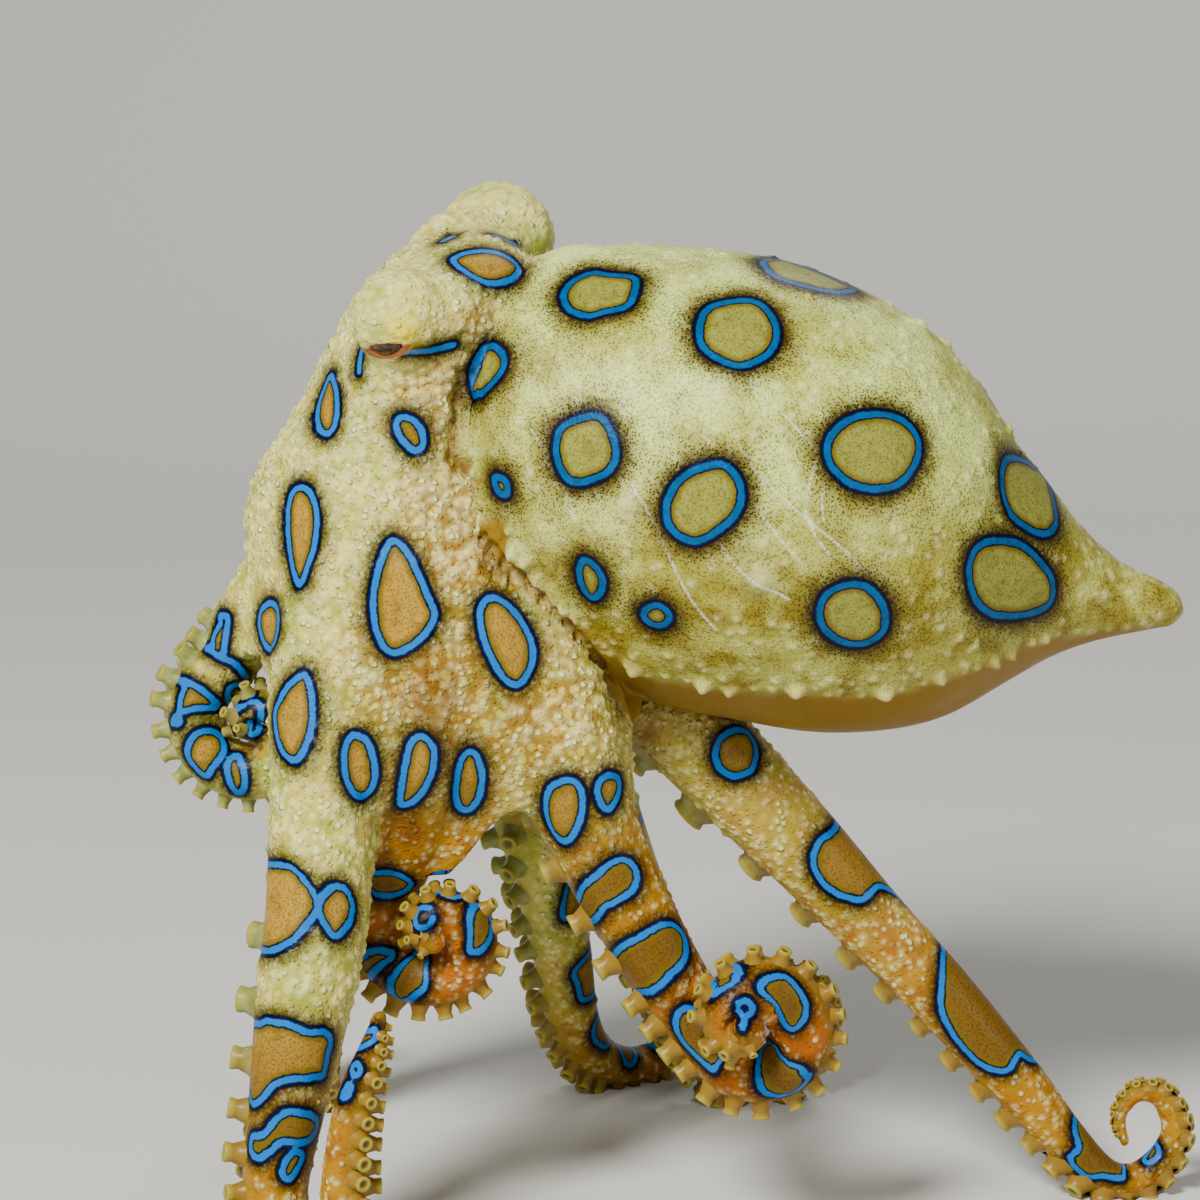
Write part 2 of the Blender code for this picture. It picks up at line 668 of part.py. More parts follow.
def mantle_frames():
    """Each mantle section's middle and its two directions, square to the mantle's bent axis."""
    middles = [MANTLE_FRONT] + [middle for middle, a, b in MANTLE_SECTIONS] + [MANTLE_TIP]
    for i, (middle, a, b) in enumerate(MANTLE_SECTIONS, 1):
        along = (middles[i + 1] - middles[i - 1]).normalized()
        across = Vector((0, 1, 0))
        yield middle, a, b, across.cross(along).normalized(), across


def mantle_loft(name, kind=None, grow=0.0):
    rings = [ring(middle, a + grow, b + grow, up, across, MANTLE_SIDES) for middle, a, b, up, across in mantle_frames()]
    ends = Vector((grow, 0, 0))
    return loft(name, rings, kind, start=MANTLE_FRONT - ends, end=MANTLE_TIP + ends)


def grown_head():
    rings = [
        ring(Vector((x, y, z)), a + GAP, b + GAP, Vector((1, 0, 0)), Vector((0, 1, 0)), HEAD_SIDES)
        for z, x, y, a, b in HEAD_SECTIONS
    ]
    lowest = [p - Vector((0, 0, GAP)) for p in rings[-1]]
    return loft("head_room", rings + [lowest], start=HEAD_TOP + Vector((0, 0, GAP)))


def outward_at(place):
    """The level direction away from the middle of the arms."""
    way = place - MOUTH_AXIS
    return Vector((way.x, way.y, 0.0)).normalized()


def make_web(first, second, neighbours):
    """The sheet of skin between two arms, from the head to a free edge that is drawn up in the middle."""
    a, b = arms[first], arms[second]
    reach_a, reach_b = min(a.web, b.web + WEB_UNEVEN), min(b.web, a.web + WEB_UNEVEN)
    sides = []
    for side in (1, -1):
        rows = []
        for i in range(WEB_ROWS + 1):
            row = []
            for j in range(WEB_COLUMNS + 1):
                u = j / WEB_COLUMNS
                clear = min(max((u - WEB_HIDDEN) / (1 - 2 * WEB_HIDDEN), 0.0), 1.0)
                arch = 4 * clear * (1 - clear)
                t = i / WEB_ROWS * (1 - WEB_SCALLOP * arch)
                place = a.place(t * reach_a).lerp(b.place(t * reach_b), u)
                radius = a.radius(t * reach_a) * (1 - u) + b.radius(t * reach_b) * u
                out = WEB_OUTWARD[0] + (WEB_OUTWARD[1] - WEB_OUTWARD[0]) * t
                thick = WEB_THICKNESS[0] + (WEB_THICKNESS[1] - WEB_THICKNESS[0]) * t
                bow = WEB_BOW * (1 - t) * arch
                place = place + outward_at(place) * (radius * out + bow + side * thick / 2)
                place.z = min(place.z, CROWN_TOP - GAP / 2)
                row.append(place)
            rows.append(row)
        sides.append(rows)
    outer, inner = sides
    rings = [outer_row + inner_row[::-1] for outer_row, inner_row in zip(outer, inner)]
    web = loft(f"web_{first}_{second}", rings, "web", folded=True)
    cut(web, neighbours)


def make_mouth():
    """Lips round the beak's tip, as a turned profile."""
    mesh = bpy.data.meshes.new("mouth")
    points = [(r, 0.0, z) for r, z in MOUTH_PROFILE]
    mesh.from_pydata(points, [(i, i + 1) for i in range(len(points) - 1)], [])
    made = bpy.data.objects.new("mouth", mesh)
    parts.objects.link(made)
    screw = made.modifiers.new("turn", "SCREW")
    screw.steps = screw.render_steps = MOUTH_STEPS
    screw.use_merge_vertices = True
    screw.merge_threshold = 0.0001
    screw.use_normal_calculate = True
    apply_modifiers(made)
    build = bmesh.new()
    build.from_mesh(made.data)
    bmesh.ops.remove_doubles(build, verts=build.verts, dist=0.0001)
    bmesh.ops.recalc_face_normals(build, faces=build.faces)
    bmesh.ops.translate(build, verts=build.verts, vec=MOUTH_AXIS)
    build.to_mesh(made.data)
    build.free()
    made.data.materials.append(finishes["mouth"])
    return made


def tube(name, start, end, radii, kind=None, sides=16):
    along = (end - start).normalized()
    across = along.orthogonal().normalized()
    other = along.cross(across)
    rings = []
    for i in range(5):
        t = i / 4
        middle = start.lerp(end, t)
        radius = radii[0] + (radii[1] - radii[0]) * t
        rings.append(ring(middle, radius, radius, across, other, sides))
    return loft(name, rings, kind)


def make_siphon(neighbours):
    siphon = tube("siphon", SIPHON_FROM, SIPHON_TO, SIPHON_RADII, "siphon")
    along = (SIPHON_TO - SIPHON_FROM).normalized()
    bore = tube("siphon_bore", SIPHON_TO - along * SIPHON_BORE_DEPTH, SIPHON_TO + along, (SIPHON_BORE,) * 2)
    cut(siphon, neighbours + [bore])


def floor_block():
    build = bmesh.new()
    bmesh.ops.create_cube(build, size=200.0)
    bmesh.ops.translate(build, verts=build.verts, vec=(0, 0, -100.0))
    return new_object("floor_block", build)


def stand_on_floor(floor):
    """Cuts the small flats that the arms rest on."""
    for piece in parts.objects:
        if min(v.co.z for v in piece.data.vertices) < 0.0:
            cut(piece, [floor])


def to_metres():
    """Every mesh in metres, about the point on the floor under the middle of the animal."""
    corners = [v.co for piece in parts.objects for v in piece.data.vertices]
    low = Vector([min(c[i] for c in corners) for i in range(3)])
    high = Vector([max(c[i] for c in corners) for i in range(3)])
    middle = Vector(((low.x + high.x) / 2, (low.y + high.y) / 2, low.z))
    for piece in parts.objects:
        piece.data.transform(Matrix.Scale(MM, 4) @ Matrix.Translation(-middle))
        smooth(piece)
    return middle


clear_scene()
parts = new_collection("blue_ringed_octopus")
tools = new_collection("cutters", hidden=True)
finishes = {name: material(name) for name in COLOURS}
arms = {name: Arm(name) for name in ARM_ORDER}

for arm in arms.values():
    make_arm(arm)
rooms = {name: arm_rooms(arm) for name, arm in arms.items()}
siphon_room = tube("siphon_room", SIPHON_FROM, SIPHON_TO, [radius + GAP for radius in SIPHON_RADII])
mantle_room = mantle_loft("mantle_room", grow=GAP)
for first, second in zip(ARM_ORDER, ARM_ORDER[1:] + ARM_ORDER[:1]):
    make_web(first, second, rooms[first] + rooms[second] + [siphon_room, mantle_room])

make_eyes(make_head())
make_mouth()
mantle = mantle_loft("mantle", "mantle")
cut(mantle, [grown_head()] + sum(rooms.values(), []))
make_siphon([mantle_room] + rooms["R3"] + rooms["R4"])
stand_on_floor(floor_block())
origin = to_metres()
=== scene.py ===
import json
import math

import bpy
import numpy as np
from mathutils import Matrix, Vector
from mathutils.bvhtree import BVHTree
from mathutils.kdtree import KDTree

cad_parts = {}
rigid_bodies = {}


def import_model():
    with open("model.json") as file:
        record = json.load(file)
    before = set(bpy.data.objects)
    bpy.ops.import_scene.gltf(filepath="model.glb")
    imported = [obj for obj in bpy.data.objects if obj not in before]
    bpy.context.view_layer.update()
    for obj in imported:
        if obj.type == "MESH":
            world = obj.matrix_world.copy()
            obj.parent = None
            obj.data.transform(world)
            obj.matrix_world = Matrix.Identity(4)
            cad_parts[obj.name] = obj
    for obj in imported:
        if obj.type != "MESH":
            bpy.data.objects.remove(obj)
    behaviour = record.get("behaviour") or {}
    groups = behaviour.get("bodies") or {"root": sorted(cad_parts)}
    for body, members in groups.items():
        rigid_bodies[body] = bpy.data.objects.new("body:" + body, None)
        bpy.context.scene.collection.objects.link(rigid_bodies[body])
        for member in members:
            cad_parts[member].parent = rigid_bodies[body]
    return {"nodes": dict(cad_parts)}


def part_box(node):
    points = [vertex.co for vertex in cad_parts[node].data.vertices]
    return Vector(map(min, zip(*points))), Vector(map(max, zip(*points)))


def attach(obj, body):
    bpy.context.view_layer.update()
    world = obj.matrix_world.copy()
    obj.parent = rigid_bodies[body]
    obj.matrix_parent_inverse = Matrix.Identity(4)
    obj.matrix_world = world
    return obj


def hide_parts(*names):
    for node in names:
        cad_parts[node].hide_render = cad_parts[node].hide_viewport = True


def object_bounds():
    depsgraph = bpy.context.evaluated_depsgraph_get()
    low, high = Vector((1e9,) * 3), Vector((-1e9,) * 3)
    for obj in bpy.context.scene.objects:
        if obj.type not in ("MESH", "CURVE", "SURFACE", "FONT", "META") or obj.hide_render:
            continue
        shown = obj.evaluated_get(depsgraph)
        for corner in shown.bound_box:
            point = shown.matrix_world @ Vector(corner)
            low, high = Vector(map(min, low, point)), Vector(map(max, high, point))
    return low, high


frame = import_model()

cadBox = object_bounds()
chance = np.random.default_rng(11)  # a fixed seed, so each run gives the same model

# Places below are in millimetres: x to the animal's back, y away from its left side, z up from the floor.
eyes = {
    "left": {"bulge": (-12.0, -4.9, 57.7), "size": 2.8, "gaze": (-0.30, -0.72, -0.62)},
    "right": {"bulge": (-6.5, 9.0, 61.1), "size": 3.45, "gaze": (-0.30, 0.86, -0.40)},
    "ball": 1.5, "forward": 0.1, "slant": 0.16,
}


def unit(rows):
    rows = np.asarray(rows, float)
    return rows / np.maximum(np.linalg.norm(rows, axis=-1, keepdims=True), 1e-12)


def eyeCentre(eye):
    return np.array(eye["bulge"]) + unit(eye["gaze"]) * (eye["size"] - eyes["ball"] + eyes["forward"])


def eyeAxes(eye):
    # The way it looks, and the level and upright ways across it
    gaze = unit(eye["gaze"])
    level = unit(np.cross((0.0, 0.0, 1.0), gaze))
    level = unit(level + np.cross(gaze, level) * eyes["slant"])
    return gaze, level, np.cross(gaze, level)


lowEye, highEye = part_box("eye_left")
packedEye = np.array((lowEye + highEye) / 2) * 1000
origin = eyeCentre(eyes["left"]) - packedEye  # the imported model's origin, in these places


# Camera

cameraPlan = {"target": (0.0, 0.0, 39.6), "distance": 250.0, "elevation": 10.0, "mmPerPixel": 0.0619}
photoSize = 1200
sensorWidth = 36.0
tilt = math.radians(cameraPlan["elevation"])
lookWay = np.array((0.0, math.cos(tilt), -math.sin(tilt)))
upWay = np.array((0.0, math.sin(tilt), math.cos(tilt)))
cameraPlace = np.array(cameraPlan["target"]) - lookWay * cameraPlan["distance"]
focalPixels = cameraPlan["distance"] / cameraPlan["mmPerPixel"]

cameraData = bpy.data.cameras.new("camera")
cameraData.sensor_width = sensorWidth
cameraData.lens = sensorWidth * focalPixels / photoSize
cameraData.clip_start = 0.01
cameraData.clip_end = 10.0
camera = bpy.data.objects.new("camera", cameraData)
camera.location = (cameraPlace - origin) * 0.001
camera.rotation_euler = (math.radians(90.0) - tilt, 0.0, 0.0)
bpy.context.scene.collection.objects.link(camera)
bpy.context.scene.camera = camera
print("camera set, lens", round(cameraData.lens, 1))


def toPixels(places):
    away = places - cameraPlace
    depth = away @ lookWay
    return np.stack([away[:, 0] / depth, -(away @ upWay) / depth], axis=1) * focalPixels + photoSize / 2


def rayThrough(pixel):
    across, down = (np.asarray(pixel, float) - photoSize / 2) / focalPixels
    return unit(lookWay + np.array((1.0, 0.0, 0.0)) * across - upWay * down)


# Helpers for meshes

def choose(*pieces):
    bpy.ops.object.select_all(action="DESELECT")
    for piece in pieces:
        piece.select_set(True)
    bpy.context.view_layer.objects.active = pieces[0]


def placesOf(piece):
    flat = np.empty(len(piece.data.vertices) * 3, np.float32)
    piece.data.vertices.foreach_get("co", flat)
    return flat.reshape(-1, 3).astype(float)


def setPlaces(piece, places):
    piece.data.vertices.foreach_set("co", np.asarray(places, np.float32).ravel())
    piece.data.update()


def finishWith(piece, kind, **settings):
    choose(piece)
    modifier = piece.modifiers.new(kind.lower(), kind)
    for key, value in settings.items():
        setattr(modifier, key, value)
    bpy.ops.object.modifier_apply(modifier=modifier.name)


def addAttribute(piece, name, values):
    made = piece.data.attributes.new(name, "FLOAT", "POINT")
    made.data.foreach_set("value", np.asarray(values, np.float32))


def inMetres(piece):
    piece.data.transform(Matrix.Scale(0.001, 4) @ Matrix.Translation(-Vector(origin)))
    piece.data.update()


def smoothRows(rows, perSpan=14, closed=False):
    # A smooth curve through rows of numbers
    rows = np.array(rows, float)
    if closed:
        rows = np.vstack([rows[-1:], rows, rows[:2]])
    else:
        rows = np.vstack([2 * rows[:1] - rows[1:2], rows, 2 * rows[-1:] - rows[-2:-1]])
    t = (np.arange(perSpan) / perSpan)[None, :, None]
    a, b, c, d = (rows[i:len(rows) - 3 + i, None, :] for i in range(4))
    out = 2 * b + (c - a) * t + (2 * a - 5 * b + 4 * c - d) * t ** 2 + (3 * b - a - 3 * c + d) * t ** 3
    out = (0.5 * out).reshape(-1, rows.shape[1])
    return out if closed else np.vstack([out, rows[-2:-1]])


def fade(values, start, end):
    share = np.clip((values - start) / (end - start), 0.0, 1.0)
    return share * share * (3 - 2 * share)


def drawOut(name, rings, start, end):
    # A ball drawn out along a row of rings, with its poles at start and end
    count, sides = rings.shape[:2]
    bpy.ops.object.select_all(action="DESELECT")
    bpy.ops.mesh.primitive_uv_sphere_add(segments=sides, ring_count=count + 1, radius=1.0, location=(0, 0, 0))
    piece = bpy.context.object
    piece.name = name
    ball = placesOf(piece)
    row = np.rint(np.arccos(np.clip(ball[:, 2], -1, 1)) / math.pi * (count + 1)).astype(int)
    side = np.rint(np.arctan2(ball[:, 1], ball[:, 0]) / (2 * math.pi) * sides).astype(int) % sides
    table = np.empty((count + 2, sides, 3))
    table[0], table[1:-1], table[-1] = start, rings, end
    setPlaces(piece, table[row, side])
    bpy.ops.object.mode_set(mode="EDIT")
    bpy.ops.mesh.select_all(action="SELECT")
    bpy.ops.mesh.normals_make_consistent(inside=False)
    bpy.ops.object.mode_set(mode="OBJECT")
    return piece


# Arms: each route point is place, radius and the way its suckers face. A curl winds on from the last one.

crownTop = 43.5
armPlans = {
    "L1": {
        "route": [
            ((-18.6, 1.5, crownTop), 2.9, (1.0, 0.0, 0.0)),
            ((-19.4, 1.3, 41.3), 2.7, (0.9, 0.0, -0.5)),
            ((-21.2, 1.1, 39.0), 2.35, (0.5, 0.0, -0.9)),
        ],
        "curl": {
            "centre": (-21.6, 1.0, 31.6), "start": 115, "turns": 1.2, "reach": (4.3, 3.35, 2.7, 1.0, -0.5),
            "radii": (2.1, 1.95, 2.0, 1.85, 0.7), "drift": (0.0, -2.6, 0.0),
        },
        "web": 7.0, "orange": (0.75, 1.2),
    },
    "L2": {
        "route": [
            ((-15.8, -3.9, crownTop), 2.7, (0.6, 0.8, 0.0)),
            ((-16.9, -5.6, 38.0), 3.0, (0.6, 0.8, 0.0)),
            ((-16.9, -7.2, 32.0), 3.15, (0.6, 0.8, 0.0)),
            ((-16.8, -8.3, 27.0), 3.2, (0.2, 1.0, 0.0)),
            ((-17.2, -9.6, 22.0), 3.25, (-0.5, 0.9, 0.0)),
            ((-18.0, -11.2, 17.0), 3.1, (-0.7, 0.7, 0.0)),
            ((-18.9, -12.8, 11.5), 2.6, (-0.9, 0.5, 0.0)),
            ((-19.6, -14.1, 6.6), 2.2, (-1.0, 0.2, -0.2)),
            ((-19.2, -14.8, 3.5), 2.0, (-0.9, 0.1, -0.4)),
            ((-18.4, -15.2, 1.45), 1.9, (-0.7, 0.0, -0.7)),
            ((-17.1, -15.5, 0.85), 1.8, (0.0, 0.0, -1.0)),
            ((-15.8, -15.9, 1.6), 1.7, (0.7, -0.2, -0.7)),
            ((-15.2, -16.1, 4.0), 1.6, (0.9, -0.3, -0.2)),
            ((-15.1, -16.1, 7.6), 1.45, (0.9, -0.4, 0.0)),
            ((-14.5, -16.2, 12.0), 1.25, (0.9, -0.4, 0.0)),
            ((-13.4, -16.0, 15.4), 0.9, (0.9, -0.4, -0.2)),
            ((-12.9, -15.8, 17.6), 0.4, (0.9, -0.4, 0.0)),
        ],
        "web": 22.0, "orange": (0.4, 0.6),
    },
    "L3": {
        "route": [
            ((-11.0, -5.0, crownTop), 2.7, (0.0, 1.0, 0.0)),
            ((-10.4, -6.2, 37.5), 2.85, (0.0, 1.0, 0.0)),
            ((-10.4, -6.5, 31.5), 2.75, (0.0, 1.0, 0.0)),
            ((-11.3, -5.4, 27.2), 2.5, (-0.4, 0.9, 0.0)),
            ((-12.7, -4.3, 23.6), 2.2, (-0.9, 0.4, 0.0)),
        ],
        "curl": {
            "centre": (-10.3, -4.2, 19.8), "start": 165, "turns": 1.18, "reach": (3.7, 3.2, 2.4, 0.85, -0.5),
            "radii": (2.0, 1.85, 1.8, 1.5, 0.6), "drift": (0.0, -3.9, 0.0),
        },
        "web": 21.0, "orange": (0.25, 0.42),
    },
    "L4": {
        "route": [
            ((-6.6, -3.2, crownTop), 2.7, (-0.7, 0.7, 0.0)),
            ((-3.6, -4.4, 37.6), 3.0, (-0.7, 0.7, 0.0)),
            ((-1.9, -5.0, 31.5), 3.1, (-0.7, 0.7, 0.0)),
            ((-0.5, -5.2, 26.0), 3.05, (-0.8, 0.6, 0.0)),
            ((1.7, -6.0, 21.4), 2.8, (-0.8, 0.4, -0.5)),
            ((4.1, -7.0, 17.4), 2.45, (-0.8, 0.3, -0.6)),
        ],
        "curl": {
            "centre": (9.4, -7.4, 14.8), "start": -148, "turns": 1.25, "reach": (2.9, 3.5, 2.6, 0.9, -0.5),
            "radii": (2.2, 2.1, 2.3, 1.95, 0.8), "drift": (-0.7, -5.4, 0.7),
        },
        "web": 21.0, "orange": (0.2, 0.46),
    },
    "R4": {
        "route": [
            ((-4.7, 2.0, crownTop), 2.7, (-1.0, 0.0, 0.0)),
            ((-1.4, 2.9, 38.5), 3.2, (-0.9, 0.2, -0.3)),
            ((3.0, 4.0, 33.0), 3.4, (-0.7, 0.5, -0.6)),
            ((8.0, 4.9, 27.6), 3.3, (-0.6, 0.6, -0.6)),
            ((12.9, 4.7, 22.6), 2.9, (-0.5, 0.7, -0.5)),
            ((17.3, 4.2, 17.9), 2.5, (-0.5, 0.7, -0.5)),
            ((21.8, 3.7, 13.2), 2.25, (-0.5, 0.7, -0.5)),
            ((26.4, 3.4, 7.9), 1.95, (-0.5, 0.6, -0.6)),
            ((29.9, 3.4, 3.6), 1.6, (-0.4, 0.3, -0.8)),
            ((32.4, 3.7, 1.1), 1.4, (-0.2, 0.0, -1.0)),
            ((34.5, 3.9, 0.8), 1.25, (0.1, 0.0, -1.0)),
            ((36.3, 4.1, 2.2), 1.1, (0.8, 0.0, -0.5)),
            ((37.1, 4.2, 4.2), 0.95, (1.0, 0.0, 0.1)),
            ((36.2, 4.3, 6.4), 0.8, (0.6, 0.0, 0.8)),
            ((34.5, 4.2, 6.7), 0.65, (-0.3, 0.0, 1.0)),
            ((33.4, 4.1, 5.2), 0.5, (-1.0, 0.0, 0.2)),
            ((33.8, 4.0, 3.3), 0.32, (-1.0, 0.0, -0.3)),
        ],
        "web": 14.0, "orange": (0.0, 0.7),
    },
    "R3": {
        "route": [
            ((-6.6, 7.2, crownTop), 2.7, (-0.7, -0.7, 0.0)),
            ((-4.4, 9.0, 37.6), 3.0, (-0.7, -0.7, 0.0)),
            ((-2.2, 10.8, 31.5), 3.1, (-0.7, -0.7, 0.0)),
            ((-0.9, 13.2, 25.5), 2.9, (-0.7, -0.5, -0.3)),
            ((1.0, 15.8, 19.5), 2.6, (-0.8, 0.0, -0.5)),
            ((3.2, 18.6, 13.4), 2.3, (-0.9, 0.2, -0.4)),
            ((5.4, 21.4, 7.4), 2.0, (-0.9, 0.0, -0.5)),
            ((7.8, 23.6, 2.6), 1.8, (-0.5, 0.0, -0.9)),
            ((11.0, 24.6, 0.9), 1.55, (0.0, 0.0, -1.0)),
            ((14.0, 24.8, 2.6), 1.3, (0.7, 0.0, -0.7)),
            ((15.4, 24.8, 6.4), 1.05, (1.0, 0.0, 0.0)),
            ((13.8, 24.6, 8.9), 0.8, (0.4, 0.0, 0.9)),
            ((11.4, 24.2, 8.6), 0.55, (-0.7, 0.0, 0.7)),
            ((10.9, 23.8, 6.9), 0.3, (-1.0, 0.0, -0.2)),
        ],
        "web": 18.0, "orange": (0.45, 0.8),
    },
    "R2": {
        "route": [
            ((-11.4, 9.0, crownTop), 2.7, (0.0, -1.0, 0.0)),
            ((-9.9, 11.6, 37.8), 2.9, (0.0, -1.0, 0.0)),
            ((-8.0, 14.4, 31.6), 2.9, (0.0, -1.0, 0.0)),
            ((-6.0, 17.0, 25.0), 2.7, (-0.5, -0.8, 0.0)),
            ((-4.2, 19.4, 18.4), 2.5, (-0.9, -0.3, 0.0)),
            ((-2.9, 21.8, 11.8), 2.3, (-1.0, 0.1, 0.0)),
            ((-2.1, 24.2, 6.0), 2.05, (-0.8, 0.0, -0.4)),
            ((-0.5, 27.0, 2.3), 1.8, (-0.4, 0.0, -0.9)),
            ((2.5, 29.3, 0.88), 1.5, (0.0, 0.0, -1.0)),
            ((5.5, 30.6, 2.4), 1.2, (0.5, 0.2, -0.8)),
            ((7.1, 31.2, 5.6), 0.9, (0.9, 0.2, 0.0)),
            ((5.8, 31.2, 7.9), 0.6, (0.4, 0.2, 0.9)),
            ((3.9, 30.9, 7.5), 0.3, (-0.7, 0.0, 0.7)),
        ],
        "web": 18.0, "orange": (0.45, 0.8),
    },
    "R1": {
        "route": [
            ((-16.2, 7.0, crownTop), 2.7, (0.6, -0.8, 0.0)),
            ((-17.2, 9.6, 37.8), 2.9, (0.6, -0.8, 0.0)),
            ((-17.6, 12.0, 31.6), 2.9, (0.5, -0.9, 0.0)),
            ((-17.8, 14.2, 25.0), 2.75, (0.1, -1.0, 0.0)),
            ((-18.3, 16.2, 18.4), 2.5, (-0.3, -0.9, 0.0)),
            ((-18.9, 18.2, 12.0), 2.25, (-0.1, -1.0, 0.0)),
            ((-19.4, 20.2, 6.2), 1.95, (0.0, -0.9, -0.4)),
            ((-19.6, 22.0, 2.5), 1.7, (0.0, -0.5, -0.9)),
            ((-19.6, 24.6, 0.82), 1.45, (0.0, 0.0, -1.0)),
            ((-19.5, 27.2, 2.3), 1.2, (0.0, 0.6, -0.8)),
            ((-19.4, 28.4, 5.0), 0.95, (0.0, 1.0, 0.0)),
            ((-19.3, 27.4, 7.5), 0.65, (0.0, 0.5, 0.9)),
            ((-19.3, 25.4, 7.8), 0.3, (0.0, -0.5, 0.9)),
        ],
        "web": 18.0, "orange": (0.45, 0.8),
    },
}
armOrder = ["L1", "L2", "L3", "L4", "R4", "R3", "R2", "R1"]  # round the mouth
armShape = {
    "step": 0.25, "sides": 20, "flat": 0.18, "curlTilt": 0.35, "curlRows": 12, "driftPower": 1.2,
    "waySpan": 0.35, "straightTop": 4.0, "lead": 2.0, "tip": 0.7,
}


def curlRows(curl):
    count = round(curl["turns"] * armShape["curlRows"])
    share = np.arange(count + 1) / count
    angle = np.radians(curl["start"]) + share * curl["turns"] * 2 * math.pi
    outward = np.stack([np.cos(angle), np.zeros(count + 1), np.sin(angle)], axis=1)
    marks = np.linspace(0, 1, len(curl["reach"]))
    reach = np.interp(share, marks, curl["reach"])[:, None]
    radii = np.interp(share, marks, curl["radii"])[:, None]
    drift = np.array(curl["drift"]) * share[:, None] ** armShape["driftPower"]
    place = np.array(curl["centre"]) + outward * reach + drift
    return np.hstack([place, radii, outward + np.array((0.0, armShape["curlTilt"], 0.0))])


def armLine(plan):
    rows = np.array([(*place, radius, *oral) for place, radius, oral in plan["route"]])
    if "curl" in plan:
        rows = np.vstack([rows, curlRows(plan["curl"])])
    fine = smoothRows(rows)
    at = np.concatenate([[0.0], np.cumsum(np.linalg.norm(np.diff(fine[:, :3], axis=0), axis=1))])
    s = np.linspace(0.0, at[-1], int(at[-1] / armShape["step"]) + 1)

    def along(columns, where):
        return np.stack([np.interp(where, at, fine[:, i]) for i in columns], axis=1)

    way = unit(along((0, 1, 2), s + armShape["waySpan"]) - along((0, 1, 2), s - armShape["waySpan"]))
    level = np.clip(1 - s / armShape["straightTop"], 0, 1)[:, None]
    way = unit(way * (1 - level) + np.array((0.0, 0.0, -1.0)) * level)
    oral = along((4, 5, 6), s)
    oral = unit(oral - way * np.sum(oral * way, axis=1, keepdims=True))
    return {
        "s": s, "centre": along((0, 1, 2), s), "radius": np.interp(s, at, fine[:, 3]), "way": way,
        "oral": oral, "across": np.cross(way, oral), "length": at[-1], "web": plan["web"],
        "orange": plan["orange"],
    }


arms = {name: armLine(armPlans[name]) for name in armOrder}


def armPoint(arm, s, turn, rise=0.0):
    # A place on an arm's surface; turn 0 is its back, and half a turn the middle of its suckers
    last = len(arm["s"]) - 1
    i = np.clip(np.rint(np.asarray(s) / arm["length"] * last).astype(int), 0, last)
    cosine, sine = np.cos(turn)[..., None], np.sin(turn)[..., None]
    out = -arm["oral"][i] * cosine + arm["across"][i] * sine
    reach = arm["radius"][i][..., None] * (1 - armShape["flat"] * np.maximum(-cosine, 0)) + rise
    return arm["centre"][i] + out * reach


def makeArm(name):
    arm = arms[name]
    s = arm["s"][::2]
    turn = 2 * math.pi * np.arange(armShape["sides"]) / armShape["sides"]
    rings = armPoint(arm, np.repeat(s[:, None], len(turn), 1), np.repeat(turn[None], len(s), 0))
    lead = rings[0] + np.array((0.0, 0.0, armShape["lead"]))
    tip = arm["centre"][-1] + arm["way"][-1] * arm["radius"][-1] * armShape["tip"]
    return drawOut("arm" + name, np.vstack([lead[None], rings]), lead.mean(axis=0), tip)


# Webs

webPlan = {
    "thickness": (1.5, 0.9), "outward": (0.85, 0.45), "bow": 0.7, "uneven": 5.0, "scallop": 0.22,
    "hidden": 0.27, "mouthAxis": (-11.3, 2.0, 0.0), "columns": 16, "rows": 14,
}


def makeWeb(first, second):
    a, b = arms[first], arms[second]
    reachA = min(a["web"], b["web"] + webPlan["uneven"])
    reachB = min(b["web"], a["web"] + webPlan["uneven"])
    bpy.ops.object.select_all(action="DESELECT")
    bpy.ops.mesh.primitive_grid_add(x_subdivisions=webPlan["columns"], y_subdivisions=webPlan["rows"],
                                    size=2.0)
    web = bpy.context.object
    web.name = "web" + first + second
    grid = (placesOf(web)[:, :2] + 1) / 2
    u, v = grid[:, 0], grid[:, 1]
    clear = np.clip((u - webPlan["hidden"]) / (1 - 2 * webPlan["hidden"]), 0, 1)
    arch = 4 * clear * (1 - clear)
    t = v * (1 - webPlan["scallop"] * arch)

    def alongArm(arm, reach, key):
        columns = np.atleast_2d(arm[key].T)
        return np.stack([np.interp(t * reach, arm["s"], column) for column in columns], axis=1)

    share = u[:, None]
    place = alongArm(a, reachA, "centre") * (1 - share) + alongArm(b, reachB, "centre") * share
    radius = alongArm(a, reachA, "radius") * (1 - share) + alongArm(b, reachB, "radius") * share
    outward = (place - np.array(webPlan["mouthAxis"])) * np.array((1.0, 1.0, 0.0))
    out = webPlan["outward"][0] + (webPlan["outward"][1] - webPlan["outward"][0]) * t[:, None]
    place = place + unit(outward) * (radius * out + webPlan["bow"] * (1 - t[:, None]) * arch[:, None])
    setPlaces(web, place)
    thick = webPlan["thickness"]
    group = web.vertex_groups.new(name="thick")
    for i, share in enumerate(1 + (thick[1] / thick[0] - 1) * t):
        group.add([i], float(share), "REPLACE")
    finishWith(web, "SOLIDIFY", thickness=thick[0], offset=0.0, vertex_group="thick")
    return web


# Head, mantle and siphon, from sections

